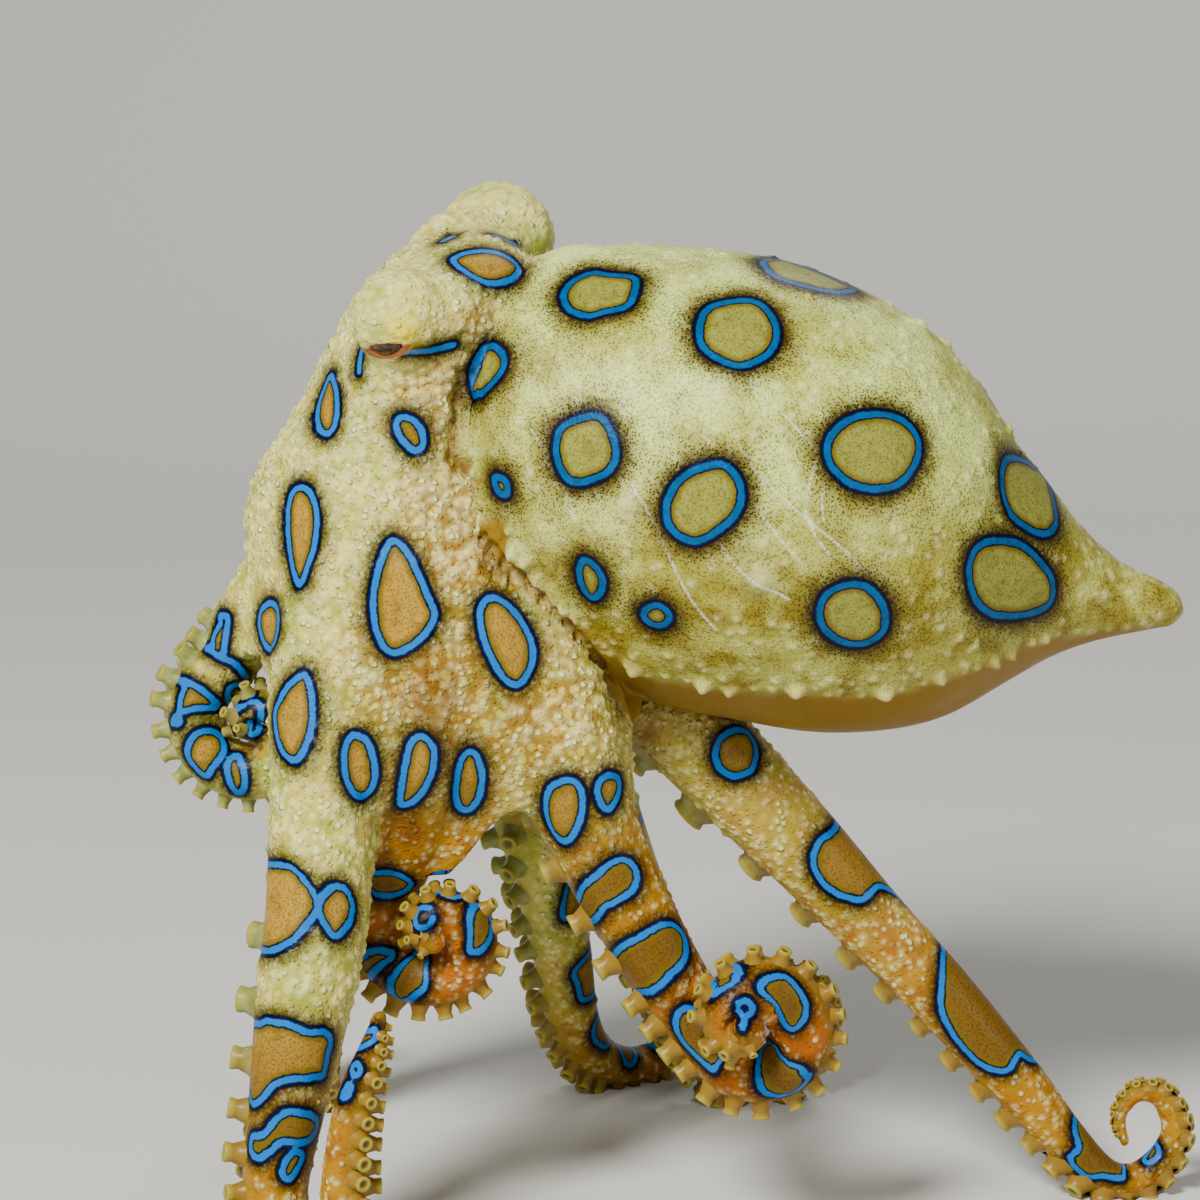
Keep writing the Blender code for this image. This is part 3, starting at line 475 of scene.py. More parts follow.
headPlan = {
    # height, middle x, middle y, half length in x, half width in y
    "sections": [
        (61.6, -8.0, 3.2, 2.4, 3.8),
        (60.3, -8.5, 2.6, 4.1, 5.7),
        (58.0, -9.4, 2.1, 5.3, 7.0),
        (55.0, -10.5, 1.9, 5.9, 7.2),
        (51.8, -11.7, 1.8, 6.3, 7.1),
        (48.7, -12.5, 1.8, 7.7, 7.8),
        (46.0, -12.5, 1.8, 9.0, 8.7),
        (43.65, -12.1, 1.9, 9.8, 9.3),
        (42.3, -12.1, 1.9, 9.2, 8.8),
        (41.2, -12.1, 1.9, 8.2, 7.9),
    ],
    "top": (-7.8, 3.5, 62.1),
    "foot": 43.0,
    "sides": 40,
}
mantlePlan = {
    # middle, half height across the axis, half width in y
    "sections": [
        ((-7.5, 1.5, 51.2), 6.9, 6.6),
        ((-6.0, 1.5, 51.0), 9.8, 8.9),
        ((-2.5, 1.4, 50.0), 11.6, 10.6),
        ((1.4, 1.2, 49.0), 12.9, 12.0),
        ((6.8, 1.0, 47.2), 14.1, 13.0),
        ((12.2, 1.0, 45.2), 13.9, 13.1),
        ((16.9, 1.2, 43.1), 12.7, 12.0),
        ((21.5, 1.5, 41.5), 10.5, 10.0),
        ((25.6, 1.8, 40.6), 7.2, 7.2),
        ((28.9, 2.0, 39.9), 4.3, 4.4),
        ((31.9, 2.1, 39.3), 2.5, 2.7),
        ((34.3, 2.1, 39.0), 1.7, 1.9),
        ((35.9, 2.1, 38.6), 1.1, 1.2),
    ],
    "front": (-8.1, 1.5, 51.2),
    "tip": (36.6, 2.1, 38.4),
    "sides": 48,
}
siphonPlan = {
    "start": (-1.6, 7.4, 39.6), "end": (2.9, 14.2, 35.9), "radii": (2.2, 1.3), "bore": 0.75, "depth": 3.0,
    "sides": 24,
}


def makeHead():
    rows = smoothRows(headPlan["sections"], 4)
    turn = 2 * math.pi * np.arange(headPlan["sides"]) / headPlan["sides"]
    z, x, y, a, b = (rows[:, i, None] for i in range(5))
    rings = np.stack([x + a * np.cos(turn), y + b * np.sin(turn), np.repeat(z, len(turn), 1)], axis=2)
    return drawOut("head", rings, headPlan["top"], rings[-1].mean(axis=0))


mantleRows = smoothRows([(*place, a, b) for place, a, b in mantlePlan["sections"]], 4)
mantleMiddle = mantleRows[:, :3]
mantleWay = unit(np.gradient(mantleMiddle, axis=0))
mantleAcross = np.array((0.0, 1.0, 0.0))
mantleUp = unit(np.cross(mantleAcross, mantleWay))


def makeMantle():
    turn = 2 * math.pi * np.arange(mantlePlan["sides"]) / mantlePlan["sides"]
    a, b = mantleRows[:, 3, None, None], mantleRows[:, 4, None, None]
    rings = mantleMiddle[:, None] + mantleUp[:, None] * a * np.cos(turn)[None, :, None]
    rings = rings + mantleAcross * b * np.sin(turn)[None, :, None]
    return drawOut("mantle", rings, mantlePlan["front"], mantlePlan["tip"])


def makeSiphon():
    # A tube with a lip, turned in on itself at its end
    start, end = np.array(siphonPlan["start"]), np.array(siphonPlan["end"])
    way = unit(end - start)
    side = unit(np.cross(way, (0.0, 0.0, 1.0)))
    top = np.cross(side, way)
    wide, narrow = siphonPlan["radii"]
    length = np.linalg.norm(end - start)
    bore, depth = siphonPlan["bore"], siphonPlan["depth"]
    profile = [
        (0.0, wide), (0.35 * length, wide * 0.9), (0.7 * length, narrow * 1.12), (0.93 * length, narrow),
        (length, narrow * 1.05), (length + 0.05, (narrow + bore) / 2), (length - 0.2, bore),
        (length - depth, bore * 0.9),
    ]
    turn = 2 * math.pi * np.arange(siphonPlan["sides"]) / siphonPlan["sides"]
    circle = side * np.cos(turn)[:, None] + top * np.sin(turn)[:, None]
    rings = np.array([start + way * along + circle * radius for along, radius in profile])
    return drawOut("siphon", rings, start - way * 0.5, start + way * (length - depth - 0.1))


def makeBulge(eye):
    bpy.ops.object.select_all(action="DESELECT")
    bpy.ops.mesh.primitive_uv_sphere_add(segments=40, ring_count=24, radius=eye["size"], location=(0, 0, 0))
    bulge = bpy.context.object
    setPlaces(bulge, placesOf(bulge) + np.array(eye["bulge"]))
    return bulge


headBlend = {
    "voxel": 0.4, "rounds": 30, "grow": 0.3,
    "cheek": {"bulge": (-9.6, -3.3, 57.4), "size": 2.7}, "brow": {"bulge": (-8.6, 5.2, 60.2), "size": 2.9},
}


def makeHood():
    # The head and the mounds of its eyes, run into each other on a coarse mesh
    parts = [makeHead()]
    parts += [makeBulge(b) for b in (eyes["left"], eyes["right"], headBlend["cheek"], headBlend["brow"])]
    choose(*parts)
    bpy.ops.object.join()
    hood = bpy.context.object
    finishWith(hood, "REMESH", mode="VOXEL", voxel_size=headBlend["voxel"])
    finishWith(hood, "SMOOTH", factor=0.5, iterations=headBlend["rounds"])
    finishWith(hood, "DISPLACE", strength=headBlend["grow"], mid_level=0.0)
    return hood


# One skin over everything

skinPlan = {
    "voxel": 0.19, "onArm": (1.2, 0.4), "thinArm": (2.0, 0.5), "rounds": 24, "levels": 8, "least": 0.05,
    "collarRounds": 90, "collarLevels": 4, "collarFoot": (38.5, 41.5), "collarTop": (50.0, 46.0),
    "collarBack": (-2.0, -4.5),
}
forms = [makeArm(name) for name in armOrder]
forms += [makeWeb(a, b) for a, b in zip(armOrder, armOrder[1:] + armOrder[:1])]
forms += [makeHood(), makeMantle(), makeSiphon()]
choose(*forms[::-1])
bpy.ops.object.join()
skin = bpy.context.object
skin.name = "skin"
skin.vertex_groups.clear()
finishWith(skin, "REMESH", mode="VOXEL", voxel_size=skinPlan["voxel"])
print("skin remeshed:", len(skin.data.vertices), "points")


# Where each point of the skin lies on its arm

places = placesOf(skin)
armTree = KDTree(sum(len(arm["s"]) for arm in arms.values()))
lineRows = []
for k, name in enumerate(armOrder):
    for i in range(len(arms[name]["s"])):
        armTree.insert(arms[name]["centre"][i], len(lineRows))
        lineRows.append((k, i, arms[name]["radius"][i]))
armTree.balance()
lineRows = np.array(lineRows)
lineRadius = lineRows[:, 2]


def nearestArm(points):
    best = np.empty(len(points), int)
    gap = np.empty(len(points))
    radii = lineRadius.tolist()
    for n, point in enumerate(points.tolist()):
        found = min((item[2] - radii[item[1]], item[1]) for item in armTree.find_n(point, 4))
        gap[n], best[n] = found
    return best, gap


nearest, armGap = nearestArm(places)
pointArm = lineRows[nearest, 0].astype(int)
pointStep = lineRows[nearest, 1].astype(int)
pointRadius = lineRadius[nearest]
axes = {key: np.vstack([arms[name][key] for name in armOrder]) for key in ("centre", "oral", "across", "way")}
offset = places - axes["centre"][nearest]
across, oral, along = (np.sum(offset * axes[key][nearest], axis=1) for key in ("across", "oral", "way"))
turnAt = np.arctan2(across, -oral)
lengths = np.array([arms[name]["length"] for name in armOrder])
lengthAt = pointStep * armShape["step"] + along
shareAt = np.clip(lengthAt / lengths[pointArm], 0, 1)

# Soften the creases, less where an arm is thin
onArm = fade(armGap, *skinPlan["onArm"])
firm = 1 - onArm * fade(pointRadius, *skinPlan["thinArm"])


def softenSkin(share, levelCount, least, rounds):
    # Smooths the skin by a share at each point, in steps, and gives its new places
    group = skin.vertex_groups.new(name="soft")
    levels = np.rint(share * levelCount).astype(int)
    for level in range(levelCount + 1):
        weight = least + (1 - least) * level / levelCount
        if weight > 0:
            group.add(np.nonzero(levels == level)[0].tolist(), weight, "REPLACE")
    finishWith(skin, "SMOOTH", factor=0.5, iterations=rounds, vertex_group="soft")
    skin.vertex_groups.clear()
    return placesOf(skin)


places = softenSkin(firm, skinPlan["levels"], skinPlan["least"], skinPlan["rounds"])
# Where the arms leave the head the skin runs on more softly
collar = fade(places[:, 2], *skinPlan["collarFoot"]) * fade(places[:, 2], *skinPlan["collarTop"])
collar *= fade(places[:, 0], *skinPlan["collarBack"])
places = softenSkin(collar, skinPlan["collarLevels"], 0.0, skinPlan["collarRounds"])
print("skin softened")


# Rings

# Outlines on the head, mantle and crown, as pixels of the 1200 x 1200 frame that the camera sees
ringOutlines = {
    "mantleNeckTop": [
        (592, 273), (608, 275), (635, 278), (634, 294), (626, 307), (603, 312), (588, 316), (570, 310),
        (563, 296), (572, 282),
    ],
    "mantleTopMiddle": [
        (736, 301), (756, 302), (771, 315), (777, 333), (771, 351), (754, 362), (736, 366), (713, 356),
        (701, 343), (700, 322), (710, 307),
    ],
    "mantleNeckSide": [
        (588, 416), (603, 419), (613, 437), (616, 458), (606, 473), (590, 480), (572, 482), (560, 468),
        (556, 447), (562, 427),
    ],
    "mantleMiddle": [
        (715, 464), (731, 470), (741, 488), (738, 511), (720, 529), (697, 542), (677, 534), (667, 519),
        (669, 496), (685, 475),
    ],
    "mantleCrest": [
        (763, 261), (781, 260), (806, 268), (829, 277), (847, 286), (854, 290), (832, 292), (802, 285),
        (778, 278), (768, 270),
    ],
    "mantleBroad": [
        (877, 414), (902, 420), (918, 439), (916, 462), (899, 484), (873, 489), (848, 482), (829, 462),
        (829, 439), (848, 420),
    ],
    "mantleRearTop": [
        (1006, 459), (1026, 462), (1044, 478), (1053, 500), (1056, 524), (1045, 534), (1028, 528),
        (1010, 513), (1002, 484),
    ],
    "mantleRear": [
        (991, 541), (1020, 544), (1042, 564), (1053, 583), (1049, 605), (1023, 615), (995, 615), (977, 602),
        (969, 576), (974, 551),
    ],
    "mantleLow": [
        (851, 584), (870, 589), (884, 608), (884, 630), (867, 643), (845, 643), (826, 631), (819, 611),
        (829, 592),
    ],
    "mantleTear": [
        (584, 560), (595, 566), (603, 580), (600, 593), (592, 598), (583, 588), (579, 570),
    ],
    "mantleSpot": [
        (656, 605), (667, 611), (669, 620), (660, 626), (648, 622), (643, 612),
    ],
    "mantleRim": [
        (492, 346), (503, 354), (503, 369), (489, 387), (476, 397), (473, 380), (477, 362), (483, 350),
    ],
    "mantleRimSpot": [
        (494, 477), (506, 481), (507, 494), (498, 492),
    ],
    "headTop": [
        (453, 259), (466, 253), (487, 251), (505, 256), (518, 267), (514, 278), (492, 284), (474, 277),
        (459, 267),
    ],
    "cheek": [
        (401, 417), (415, 421), (423, 434), (422, 447), (413, 450), (401, 438), (396, 425),
    ],
    "browFront": [
        (331, 375), (337, 395), (336, 420), (329, 434), (319, 428), (318, 408), (324, 390),
    ],
    "crownFront": [
        (300, 487), (312, 495), (317, 518), (314, 546), (306, 570), (300, 586), (293, 570), (289, 545),
        (288, 515), (291, 496),
    ],
    "crownEgg": [
        (392, 540), (407, 552), (419, 575), (428, 597), (435, 614), (426, 633), (408, 648), (393, 653),
        (381, 643), (374, 620), (374, 590), (381, 561),
    ],
    "crownTilted": [
        (492, 597), (510, 607), (525, 628), (533, 648), (530, 669), (518, 685), (503, 677), (489, 653),
        (481, 628), (481, 607),
    ],
    "crownSliver": [
        (262, 609), (272, 603), (278, 613), (277, 634), (270, 650), (262, 638), (259, 622),
    ],
    "crownEdge": [
        (354, 735), (366, 740), (373, 757), (375, 778), (368, 793), (357, 796), (348, 783), (344, 760),
        (347, 742),
    ],
    "webNarrow": [
        (420, 736), (432, 745), (434, 763), (428, 783), (415, 800), (401, 805), (401, 790), (405, 765),
        (410, 745),
    ],
    "webSmall": [
        (470, 751), (479, 760), (482, 778), (479, 798), (469, 810), (458, 806), (456, 786), (460, 763),
    ],
    "webLow": [
        (565, 780), (578, 784), (583, 802), (578, 826), (566, 842), (553, 832), (546, 810), (549, 789),
    ],
    "webCorner": [
        (608, 775), (619, 779), (618, 795), (608, 810), (599, 800), (598, 784),
    ],
    "coilTop": [
        (190, 632), (197, 642), (210, 650), (222, 657), (225, 638), (228, 616), (208, 618),
    ],
    "coilBand": [
        (166, 684), (180, 680), (194, 685), (210, 697), (219, 707), (198, 708), (178, 714), (165, 729),
        (158, 706),
    ],
    "coilLoop": [
        (219, 734), (203, 731), (191, 739), (187, 755), (194, 766), (206, 777), (213, 766), (224, 752),
    ],
    "coilLow": [
        (227, 770), (229, 760), (238, 755), (243, 768), (245, 784), (240, 794), (232, 787),
    ],
}
strokes = {  # blue lines that don't close, as the pixels along their middle
    "behindEye": [(404, 352), (428, 351), (453, 345)], "beforeEye": [(362, 348), (360, 360), (359, 371)],
    "crestA": [(443, 241), (453, 236)], "crestB": [(494, 235), (506, 240), (516, 245)],
    "coilStem": [(222, 657), (236, 665), (247, 678)],
    "coilMiddleA": [(248, 686), (240, 684), (230, 688), (228, 699), (235, 707), (244, 706)],
    "coilMiddleB": [(250, 702), (258, 703), (261, 713), (258, 732), (249, 733), (250, 722)],
    "curlMiddle": [(430, 908), (420, 908), (415, 918), (418, 927), (429, 926), (433, 918)],
    "coilHeart": [(738, 1003), (747, 1001), (753, 1009), (747, 1016)],
    "coilHeartLow": [(738, 1010), (744, 1018), (743, 1028)],
}
# Rings on the arms: the arm, how far along it they lie, and their outline, which runs on past the arm's edge
armOutlines = {
    "upperEdge": ("L2", (2, 16), [
        (297, 681), (306, 679), (312, 701), (312, 730), (303, 752), (293, 760), (280, 748), (274, 715),
        (284, 694),
    ]),
    "eightBroad": ("L2", (8, 30), [
        (274, 864), (290, 866), (303, 879), (314, 893), (318, 907), (310, 922), (295, 940), (280, 949),
        (267, 950), (250, 942), (238, 905), (252, 866),
    ]),
    "eightNarrow": ("L2", (8, 30), [
        (318, 906), (328, 889), (343, 887), (352, 902), (351, 920), (340, 936), (330, 934), (322, 920),
    ]),
    "belowEight": ("L2", (14, 38), [
        (258, 1024), (269, 1019), (292, 1024), (310, 1032), (325, 1031), (332, 1041), (328, 1056),
        (324, 1074), (310, 1076), (290, 1077), (272, 1084), (262, 1097), (248, 1100), (240, 1060),
        (244, 1026),
    ]),
    "lowBand": ("L2", (20, 42), [
        (264, 1132), (277, 1114), (294, 1110), (310, 1113), (319, 1122), (312, 1137), (300, 1140),
        (282, 1139), (271, 1148), (262, 1154), (250, 1150), (250, 1134),
    ]),
    "lowLoop": ("L2", (24, 44), [
        (296, 1147), (304, 1154), (297, 1167), (289, 1177), (283, 1170), (287, 1157),
    ]),
    "tipMark": ("L2", (50, 64), [
        (374, 1031), (376, 1037), (364, 1045), (355, 1049), (357, 1041), (366, 1032),
    ]),
    "tipDot": ("L2", (50, 64), [
        (356, 1062), (361, 1068), (356, 1074), (351, 1068),
    ]),
    "tipStroke": ("L2", (46, 62), [
        (350, 1081), (351, 1090), (341, 1096), (344, 1088),
    ]),
    "curlTop": ("L3", (17, 30), [
        (372, 853), (388, 855), (405, 857), (418, 868), (411, 880), (394, 886), (378, 884), (366, 870),
    ]),
    "curlLeft": ("L3", (22, 32), [
        (363, 978), (374, 967), (385, 959), (392, 951), (383, 947), (368, 946), (352, 960),
    ]),
    "curlPetalLow": ("L3", (27, 36), [
        (411, 958), (394, 971), (389, 986), (394, 1000), (404, 1004), (417, 995), (428, 987), (430, 973),
        (431, 956), (421, 950),
    ]),
    "curlPetalRight": ("L3", (32, 41), [
        (470, 902), (483, 899), (493, 912), (491, 930), (478, 942), (468, 938), (463, 924), (464, 911),
    ]),
    "curlPetalTop": ("L3", (36, 44), [
        (448, 895), (438, 884), (445, 873), (458, 866), (470, 870), (463, 879), (459, 890),
    ]),
    "waved": ("L4", (12, 28), [
        (561, 912), (574, 902), (582, 884), (595, 873), (610, 860), (625, 857), (636, 869), (635, 886),
        (622, 897), (607, 901), (597, 915), (587, 925), (571, 926), (556, 922),
    ]),
    "rounded": ("L4", (18, 32), [
        (607, 963), (618, 950), (638, 939), (658, 925), (676, 925), (686, 940), (684, 958), (668, 974),
        (651, 986), (633, 995), (620, 990), (608, 978),
    ]),
    "coilLeft": ("L4", (24, 36), [
        (684, 1001), (672, 1016), (676, 1035), (691, 1051), (711, 1068), (718, 1056), (730, 1046),
        (720, 1030), (704, 1013),
    ]),
    "coilLow": ("L4", (32, 43), [
        (777, 1035), (788, 1047), (806, 1058), (815, 1071), (806, 1088), (791, 1096), (770, 1092),
        (763, 1075), (765, 1055), (770, 1043),
    ]),
    "coilRight": ("L4", (38, 49), [
        (751, 989), (760, 977), (775, 973), (788, 984), (796, 997), (793, 1009), (783, 1017), (772, 1014),
        (763, 1003), (755, 996),
    ]),
    "coilTop": ("L4", (43, 54), [
        (731, 982), (725, 968), (718, 961), (708, 968), (704, 981), (709, 996), (719, 992),
    ]),
    "rearDark": ("R4", (4, 24), [
        (727, 722), (744, 728), (751, 745), (744, 762), (727, 768), (711, 760), (704, 745), (710, 728),
    ]),
    "rearBroad": ("R4", (14, 36), [
        (842, 812), (834, 826), (819, 834), (809, 847), (809, 863), (819, 879), (836, 891), (858, 896),
        (868, 887), (878, 883), (893, 891), (907, 901), (925, 896), (915, 860), (885, 815), (860, 800),
    ]),
    "rearLong": ("R4", (24, 50), [
        (941, 949), (938, 971), (935, 1000), (942, 1019), (957, 1041), (973, 1057), (992, 1065),
        (1005, 1062), (1015, 1047), (1028, 1057), (1048, 1050), (1015, 985), (972, 935), (950, 936),
    ]),
    "rearLow": ("R4", (38, 58), [
        (1069, 1121), (1074, 1140), (1064, 1150), (1069, 1162), (1082, 1172), (1096, 1169), (1112, 1176),
        (1130, 1174), (1130, 1150), (1105, 1122), (1085, 1108),
    ]),
    "rearCurl": ("R4", (56, 70), [
        (1155, 1143), (1160, 1152), (1149, 1163), (1143, 1160), (1150, 1150),
    ]),
}
# Bands wound round the far arms: shares of an arm's radius, and half their turn
hiddenBands = {"start": 15.0, "halfLength": 0.85, "gap": 1.1, "halfTurn": 1.2, "wobble": 0.13}
ringPlan = {
    "reach": 3.2, "far": 9.0, "mirrorY": 1.55, "nearMiddle": 3.0, "loop": 6, "smoothing": 3, "pastEdge": 1.3,
    "twinSize": 0.88, "twinDrop": 0.7, "twinFrom": 60.0,
}


def loopDistance(points, loop):
    # Distance to a closed line of points, in two or three directions
    best = np.full(len(points), 1e9)
    for a, b in zip(loop, np.roll(loop, -1, axis=0)):
        span = b - a
        share = np.clip((points - a) @ span / max(span @ span, 1e-12), 0, 1)
        best = np.minimum(best, np.linalg.norm(points - a - share[:, None] * span, axis=1))
    return best


def insideLoop(points, loop):
    inside = np.zeros(len(points), bool)
    x, y = points[:, 0], points[:, 1]
    for (ax, ay), (bx, by) in zip(loop, np.roll(loop, -1, axis=0)):
        crosses = (ay > y) != (by > y)
        if abs(by - ay) > 1e-12:
            inside ^= crosses & (x < (bx - ax) * (y - ay) / (by - ay) + ax)
    return inside


def normalsOf(piece):
    flat = np.empty(len(piece.data.vertices) * 3, np.float32)
    piece.data.vertex_normals.foreach_get("vector", flat)
    return flat.reshape(-1, 3).astype(float)


normals = normalsOf(skin)
surface = BVHTree.FromObject(skin, bpy.context.evaluated_depsgraph_get())
ringEdge = np.full(len(places), ringPlan["far"])


def castPixel(pixel):
    # The skin's place and normal behind a pixel, or those nearest to its ray
    way = rayThrough(pixel)
    place, normal, face, far = surface.ray_cast(Vector(cameraPlace), Vector(way))
    if place is None:
        guess = cameraPlace + way * cameraPlan["distance"]
        place, normal, face, far = surface.find_nearest(Vector(guess))
    return np.array(place), np.array(normal)


def smoothLoop(loop):
    for i in range(ringPlan["smoothing"]):
        loop = (np.roll(loop, 1, axis=0) + 2 * loop + np.roll(loop, -1, axis=0)) / 4
    return loop


def farSide(place):
    # The like place on the animal's other side
    return place * (1, -1, 1) + (0, 2 * ringPlan["mirrorY"], 0)


def markSurfaceRing(loop, facing, closed=True):
    if closed:
        loop = smoothLoop(loop)
    middle = loop.mean(axis=0)
    size = np.linalg.norm(loop - middle, axis=1).max() + ringPlan["reach"]
    near = np.nonzero(np.linalg.norm(places - middle, axis=1) < size)[0]
    near = near[(normals[near] @ facing > -0.1)]
    if not len(near):
        return
    side = unit(np.cross(facing, (0.0, 0.31, 0.95)))
    flat = np.stack([side, np.cross(facing, side)], axis=1)
    far = loopDistance(places[near], loop)
    if closed:
        far = np.where(insideLoop(places[near] @ flat, loop @ flat), -far, far)
    ringEdge[near] = np.minimum(ringEdge[near], far)


surfaceRings = 0
for name, outline in ringOutlines.items():
    casts = [castPixel(pixel) for pixel in smoothRows(outline, ringPlan["loop"], closed=True)]
    loop = np.array([place for place, normal in casts])
    facing = unit(np.mean([normal for place, normal in casts], axis=0))
    markSurfaceRing(loop, facing)
    surfaceRings += 1
    middle = loop.mean(axis=0)
    ownSideOnly = middle[1] > ringPlan["mirrorY"] - ringPlan["nearMiddle"]
    if ownSideOnly or name == "headTop" or name.startswith("coil"):
        continue
    mirrored = []
    # The far side has its like, a little smaller and lower, where a ray from there meets the skin
    for place in middle + (loop - middle) * ringPlan["twinSize"] - (0.0, 0.0, ringPlan["twinDrop"]):
        found = surface.ray_cast(Vector((place[0], ringPlan["twinFrom"], place[2])), Vector((0.0, -1.0, 0.0)))
        if found[0] is not None:
            mirrored.append((np.array(found[0]), np.array(found[1])))
    facing = unit(np.mean([normal for place, normal in mirrored], axis=0))
    markSurfaceRing(np.array([place for place, normal in mirrored]), facing)
    surfaceRings += 1
for outline in strokes.values():
    casts = [castPixel(pixel) for pixel in smoothRows(outline, 6)]
    loop = np.array([place for place, normal in casts])
    facing = unit(np.mean([normal for place, normal in casts], axis=0))
    markSurfaceRing(np.vstack([loop, loop[::-1]]), facing, closed=False)
print("rings on the body:", surfaceRings)


def armSpot(arm, pixel, within):
    # Length along an arm and turn round it behind a pixel. Past its edge the turn goes on round its back.
    inside = np.nonzero((arm["s"] >= within[0]) & (arm["s"] <= within[1]))[0]
    centres = toPixels(arm["centre"][inside])
    gaps = np.linalg.norm(centres - np.asarray(pixel), axis=1)
    i = inside[np.argmin(gaps)]
    view = unit(arm["centre"][i] - cameraPlace)
    side = unit(np.cross(arm["way"][i], view))
    ends = toPixels(np.array([arm["centre"][i], arm["centre"][i] + side * arm["radius"][i]]))
    edge = ends[1] - ends[0]
    out = (np.asarray(pixel) - ends[0]) @ edge / (edge @ edge)
    onFace = min(max(out, -1), 1)
    angle = math.asin(onFace) + (out - onFace) * ringPlan["pastEdge"]
    front = unit(arm["way"][i] * (arm["way"][i] @ view) - view)
    way = front * math.cos(angle) + side * math.sin(angle)
    return arm["s"][i], math.atan2(way @ arm["across"][i], -way @ arm["oral"][i])


def markArmRing(k, loop):
    # loop holds lengths and turns
    arm = arms[armOrder[k]]
    loop = loop.copy()
    loop[:, 1] = np.unwrap(loop[:, 1])
    loop = smoothLoop(loop)
    middle = loop.mean(axis=0)
    wide = np.interp(loop[:, 0], arm["s"], arm["radius"])
    flatLoop = np.stack([loop[:, 0], (loop[:, 1] - middle[1]) * wide], axis=1)
    reach = np.ptp(loop[:, 0]) / 2 + ringPlan["reach"]
    near = np.nonzero((pointArm == k) & (armGap < 0.9) & (abs(lengthAt - middle[0]) < reach))[0]
    turn = (turnAt[near] - middle[1] + math.pi) % (2 * math.pi) - math.pi
    flat = np.stack([lengthAt[near], turn * pointRadius[near]], axis=1)
    far = loopDistance(flat, flatLoop)
    far = np.where(insideLoop(flat, flatLoop), -far, far)
    ringEdge[near] = np.minimum(ringEdge[near], far)


for name, (armName, within, outline) in armOutlines.items():
    spots = [armSpot(arms[armName], pixel, within) for pixel in smoothRows(outline, 5, closed=True)]
    markArmRing(armOrder.index(armName), np.array(spots))
for armName in ("R3", "R2", "R1"):
    arm = arms[armName]
    s = hiddenBands["start"]
    while s < arm["length"] - 1.5:
        radius = float(np.interp(s, arm["s"], arm["radius"]))
        half = radius * hiddenBands["halfLength"] * chance.uniform(0.85, 1.15)
        s += half
        around = np.linspace(0, 2 * math.pi, 28, endpoint=False)
        wobble = 1 + hiddenBands["wobble"] * np.sin(around * 3 + chance.uniform(0, 6))
        wobble += 0.6 * hiddenBands["wobble"] * np.sin(around * 5 + chance.uniform(0, 6))
        tall = hiddenBands["halfTurn"] * chance.uniform(0.75, 1.1)
        loop = np.stack([
            s + half * np.sign(np.sin(around)) * abs(np.sin(around)) ** 0.8 * wobble,
            chance.uniform(-0.2, 0.2) + tall * np.sign(np.cos(around)) * abs(np.cos(around)) ** 0.7 * wobble,
        ], axis=1)
        markArmRing(armOrder.index(armName), loop)
        s += half + radius * hiddenBands["gap"] * chance.uniform(0.8, 1.3)
print("rings on the arms:", len(armOutlines))


# Which form each point of the skin belongs to

formPlan = {  # millimetres over which one form's skin gives way to the next, and the mantle's open edge
    "mantle": (-0.2, 0.3), "head": (-1.5, 1.5), "mantleEnds": 0.8, "edgeTop": (57.0, 53.0),
    "edgeReach": (2.0, 1.0), "groove": (-0.15, 0.4), "grooveDepth": 0.4, "rim": (0.75, 0.45),
    "rimHeight": 0.28,
}
row = np.empty(len(places), int)
beyond = np.empty(len(places))
for start in range(0, len(places), 50000):
    part = places[start:start + 50000]
    along = abs(np.einsum("nmk,mk->nm", part[:, None] - mantleMiddle[None], mantleWay))
    row[start:start + 50000] = np.argmin(along, axis=1)
    beyond[start:start + 50000] = along.min(axis=1)
offset = places - mantleMiddle[row]
up, out = np.sum(offset * mantleUp[row], axis=1), offset[:, 1]
mantleGap = np.hypot(up / mantleRows[row, 3], out / mantleRows[row, 4]) - 1
mantleGap = np.maximum(mantleGap * mantleRows[row, 3:5].min(axis=1), beyond - formPlan["mantleEnds"])
headRows = smoothRows(headPlan["sections"], 4)[::-1]
atHeight = [np.interp(places[:, 2], headRows[:, 0], headRows[:, i]) for i in range(1, 5)]
headGap = np.hypot((places[:, 0] - atHeight[0]) / atHeight[2], (places[:, 1] - atHeight[1]) / atHeight[3]) - 1
headGap = headGap * np.minimum(atHeight[2], atHeight[3]) + np.maximum(headPlan["foot"] - places[:, 2], 0)
for eye in (eyes["left"], eyes["right"]):
    headGap = np.minimum(headGap, np.linalg.norm(places - np.array(eye["bulge"]), axis=1) - eye["size"])
pastEdge = np.minimum(headGap, armGap) - mantleGap
mantleShare = fade(pastEdge, *formPlan["mantle"])
headShare = (1 - mantleShare) * fade(armGap - headGap, *formPlan["head"])
# The mantle's open edge: a groove round the sides and below, with a raised rim behind it
openEdge = fade(places[:, 2], *formPlan["edgeTop"])
openEdge *= fade(np.minimum(headGap, armGap), *formPlan["edgeReach"])
groove, rim = (np.exp(-((pastEdge - middle) / wide) ** 2) * openEdge
               for middle, wide in (formPlan["groove"], formPlan["rim"]))

# The ridge along each side of the mantle, and the smooth skin below it, painted a darker orange-brown that is
# partly its own tone and partly painted shade
ridgePixels = [
    (505, 520), (514, 556), (560, 605), (635, 668), (703, 685), (790, 692), (887, 693), (960, 672),
    (1040, 640), (1100, 630), (1150, 625),
]
ridge = np.array([castPixel(pixel)[0] for pixel in smoothRows(ridgePixels, 6)])
ridgeHeight = np.interp(places[:, 0], ridge[:, 0], ridge[:, 2])
underside = mantleShare * fade(places[:, 2] - ridgeHeight, 0.5, -0.7)

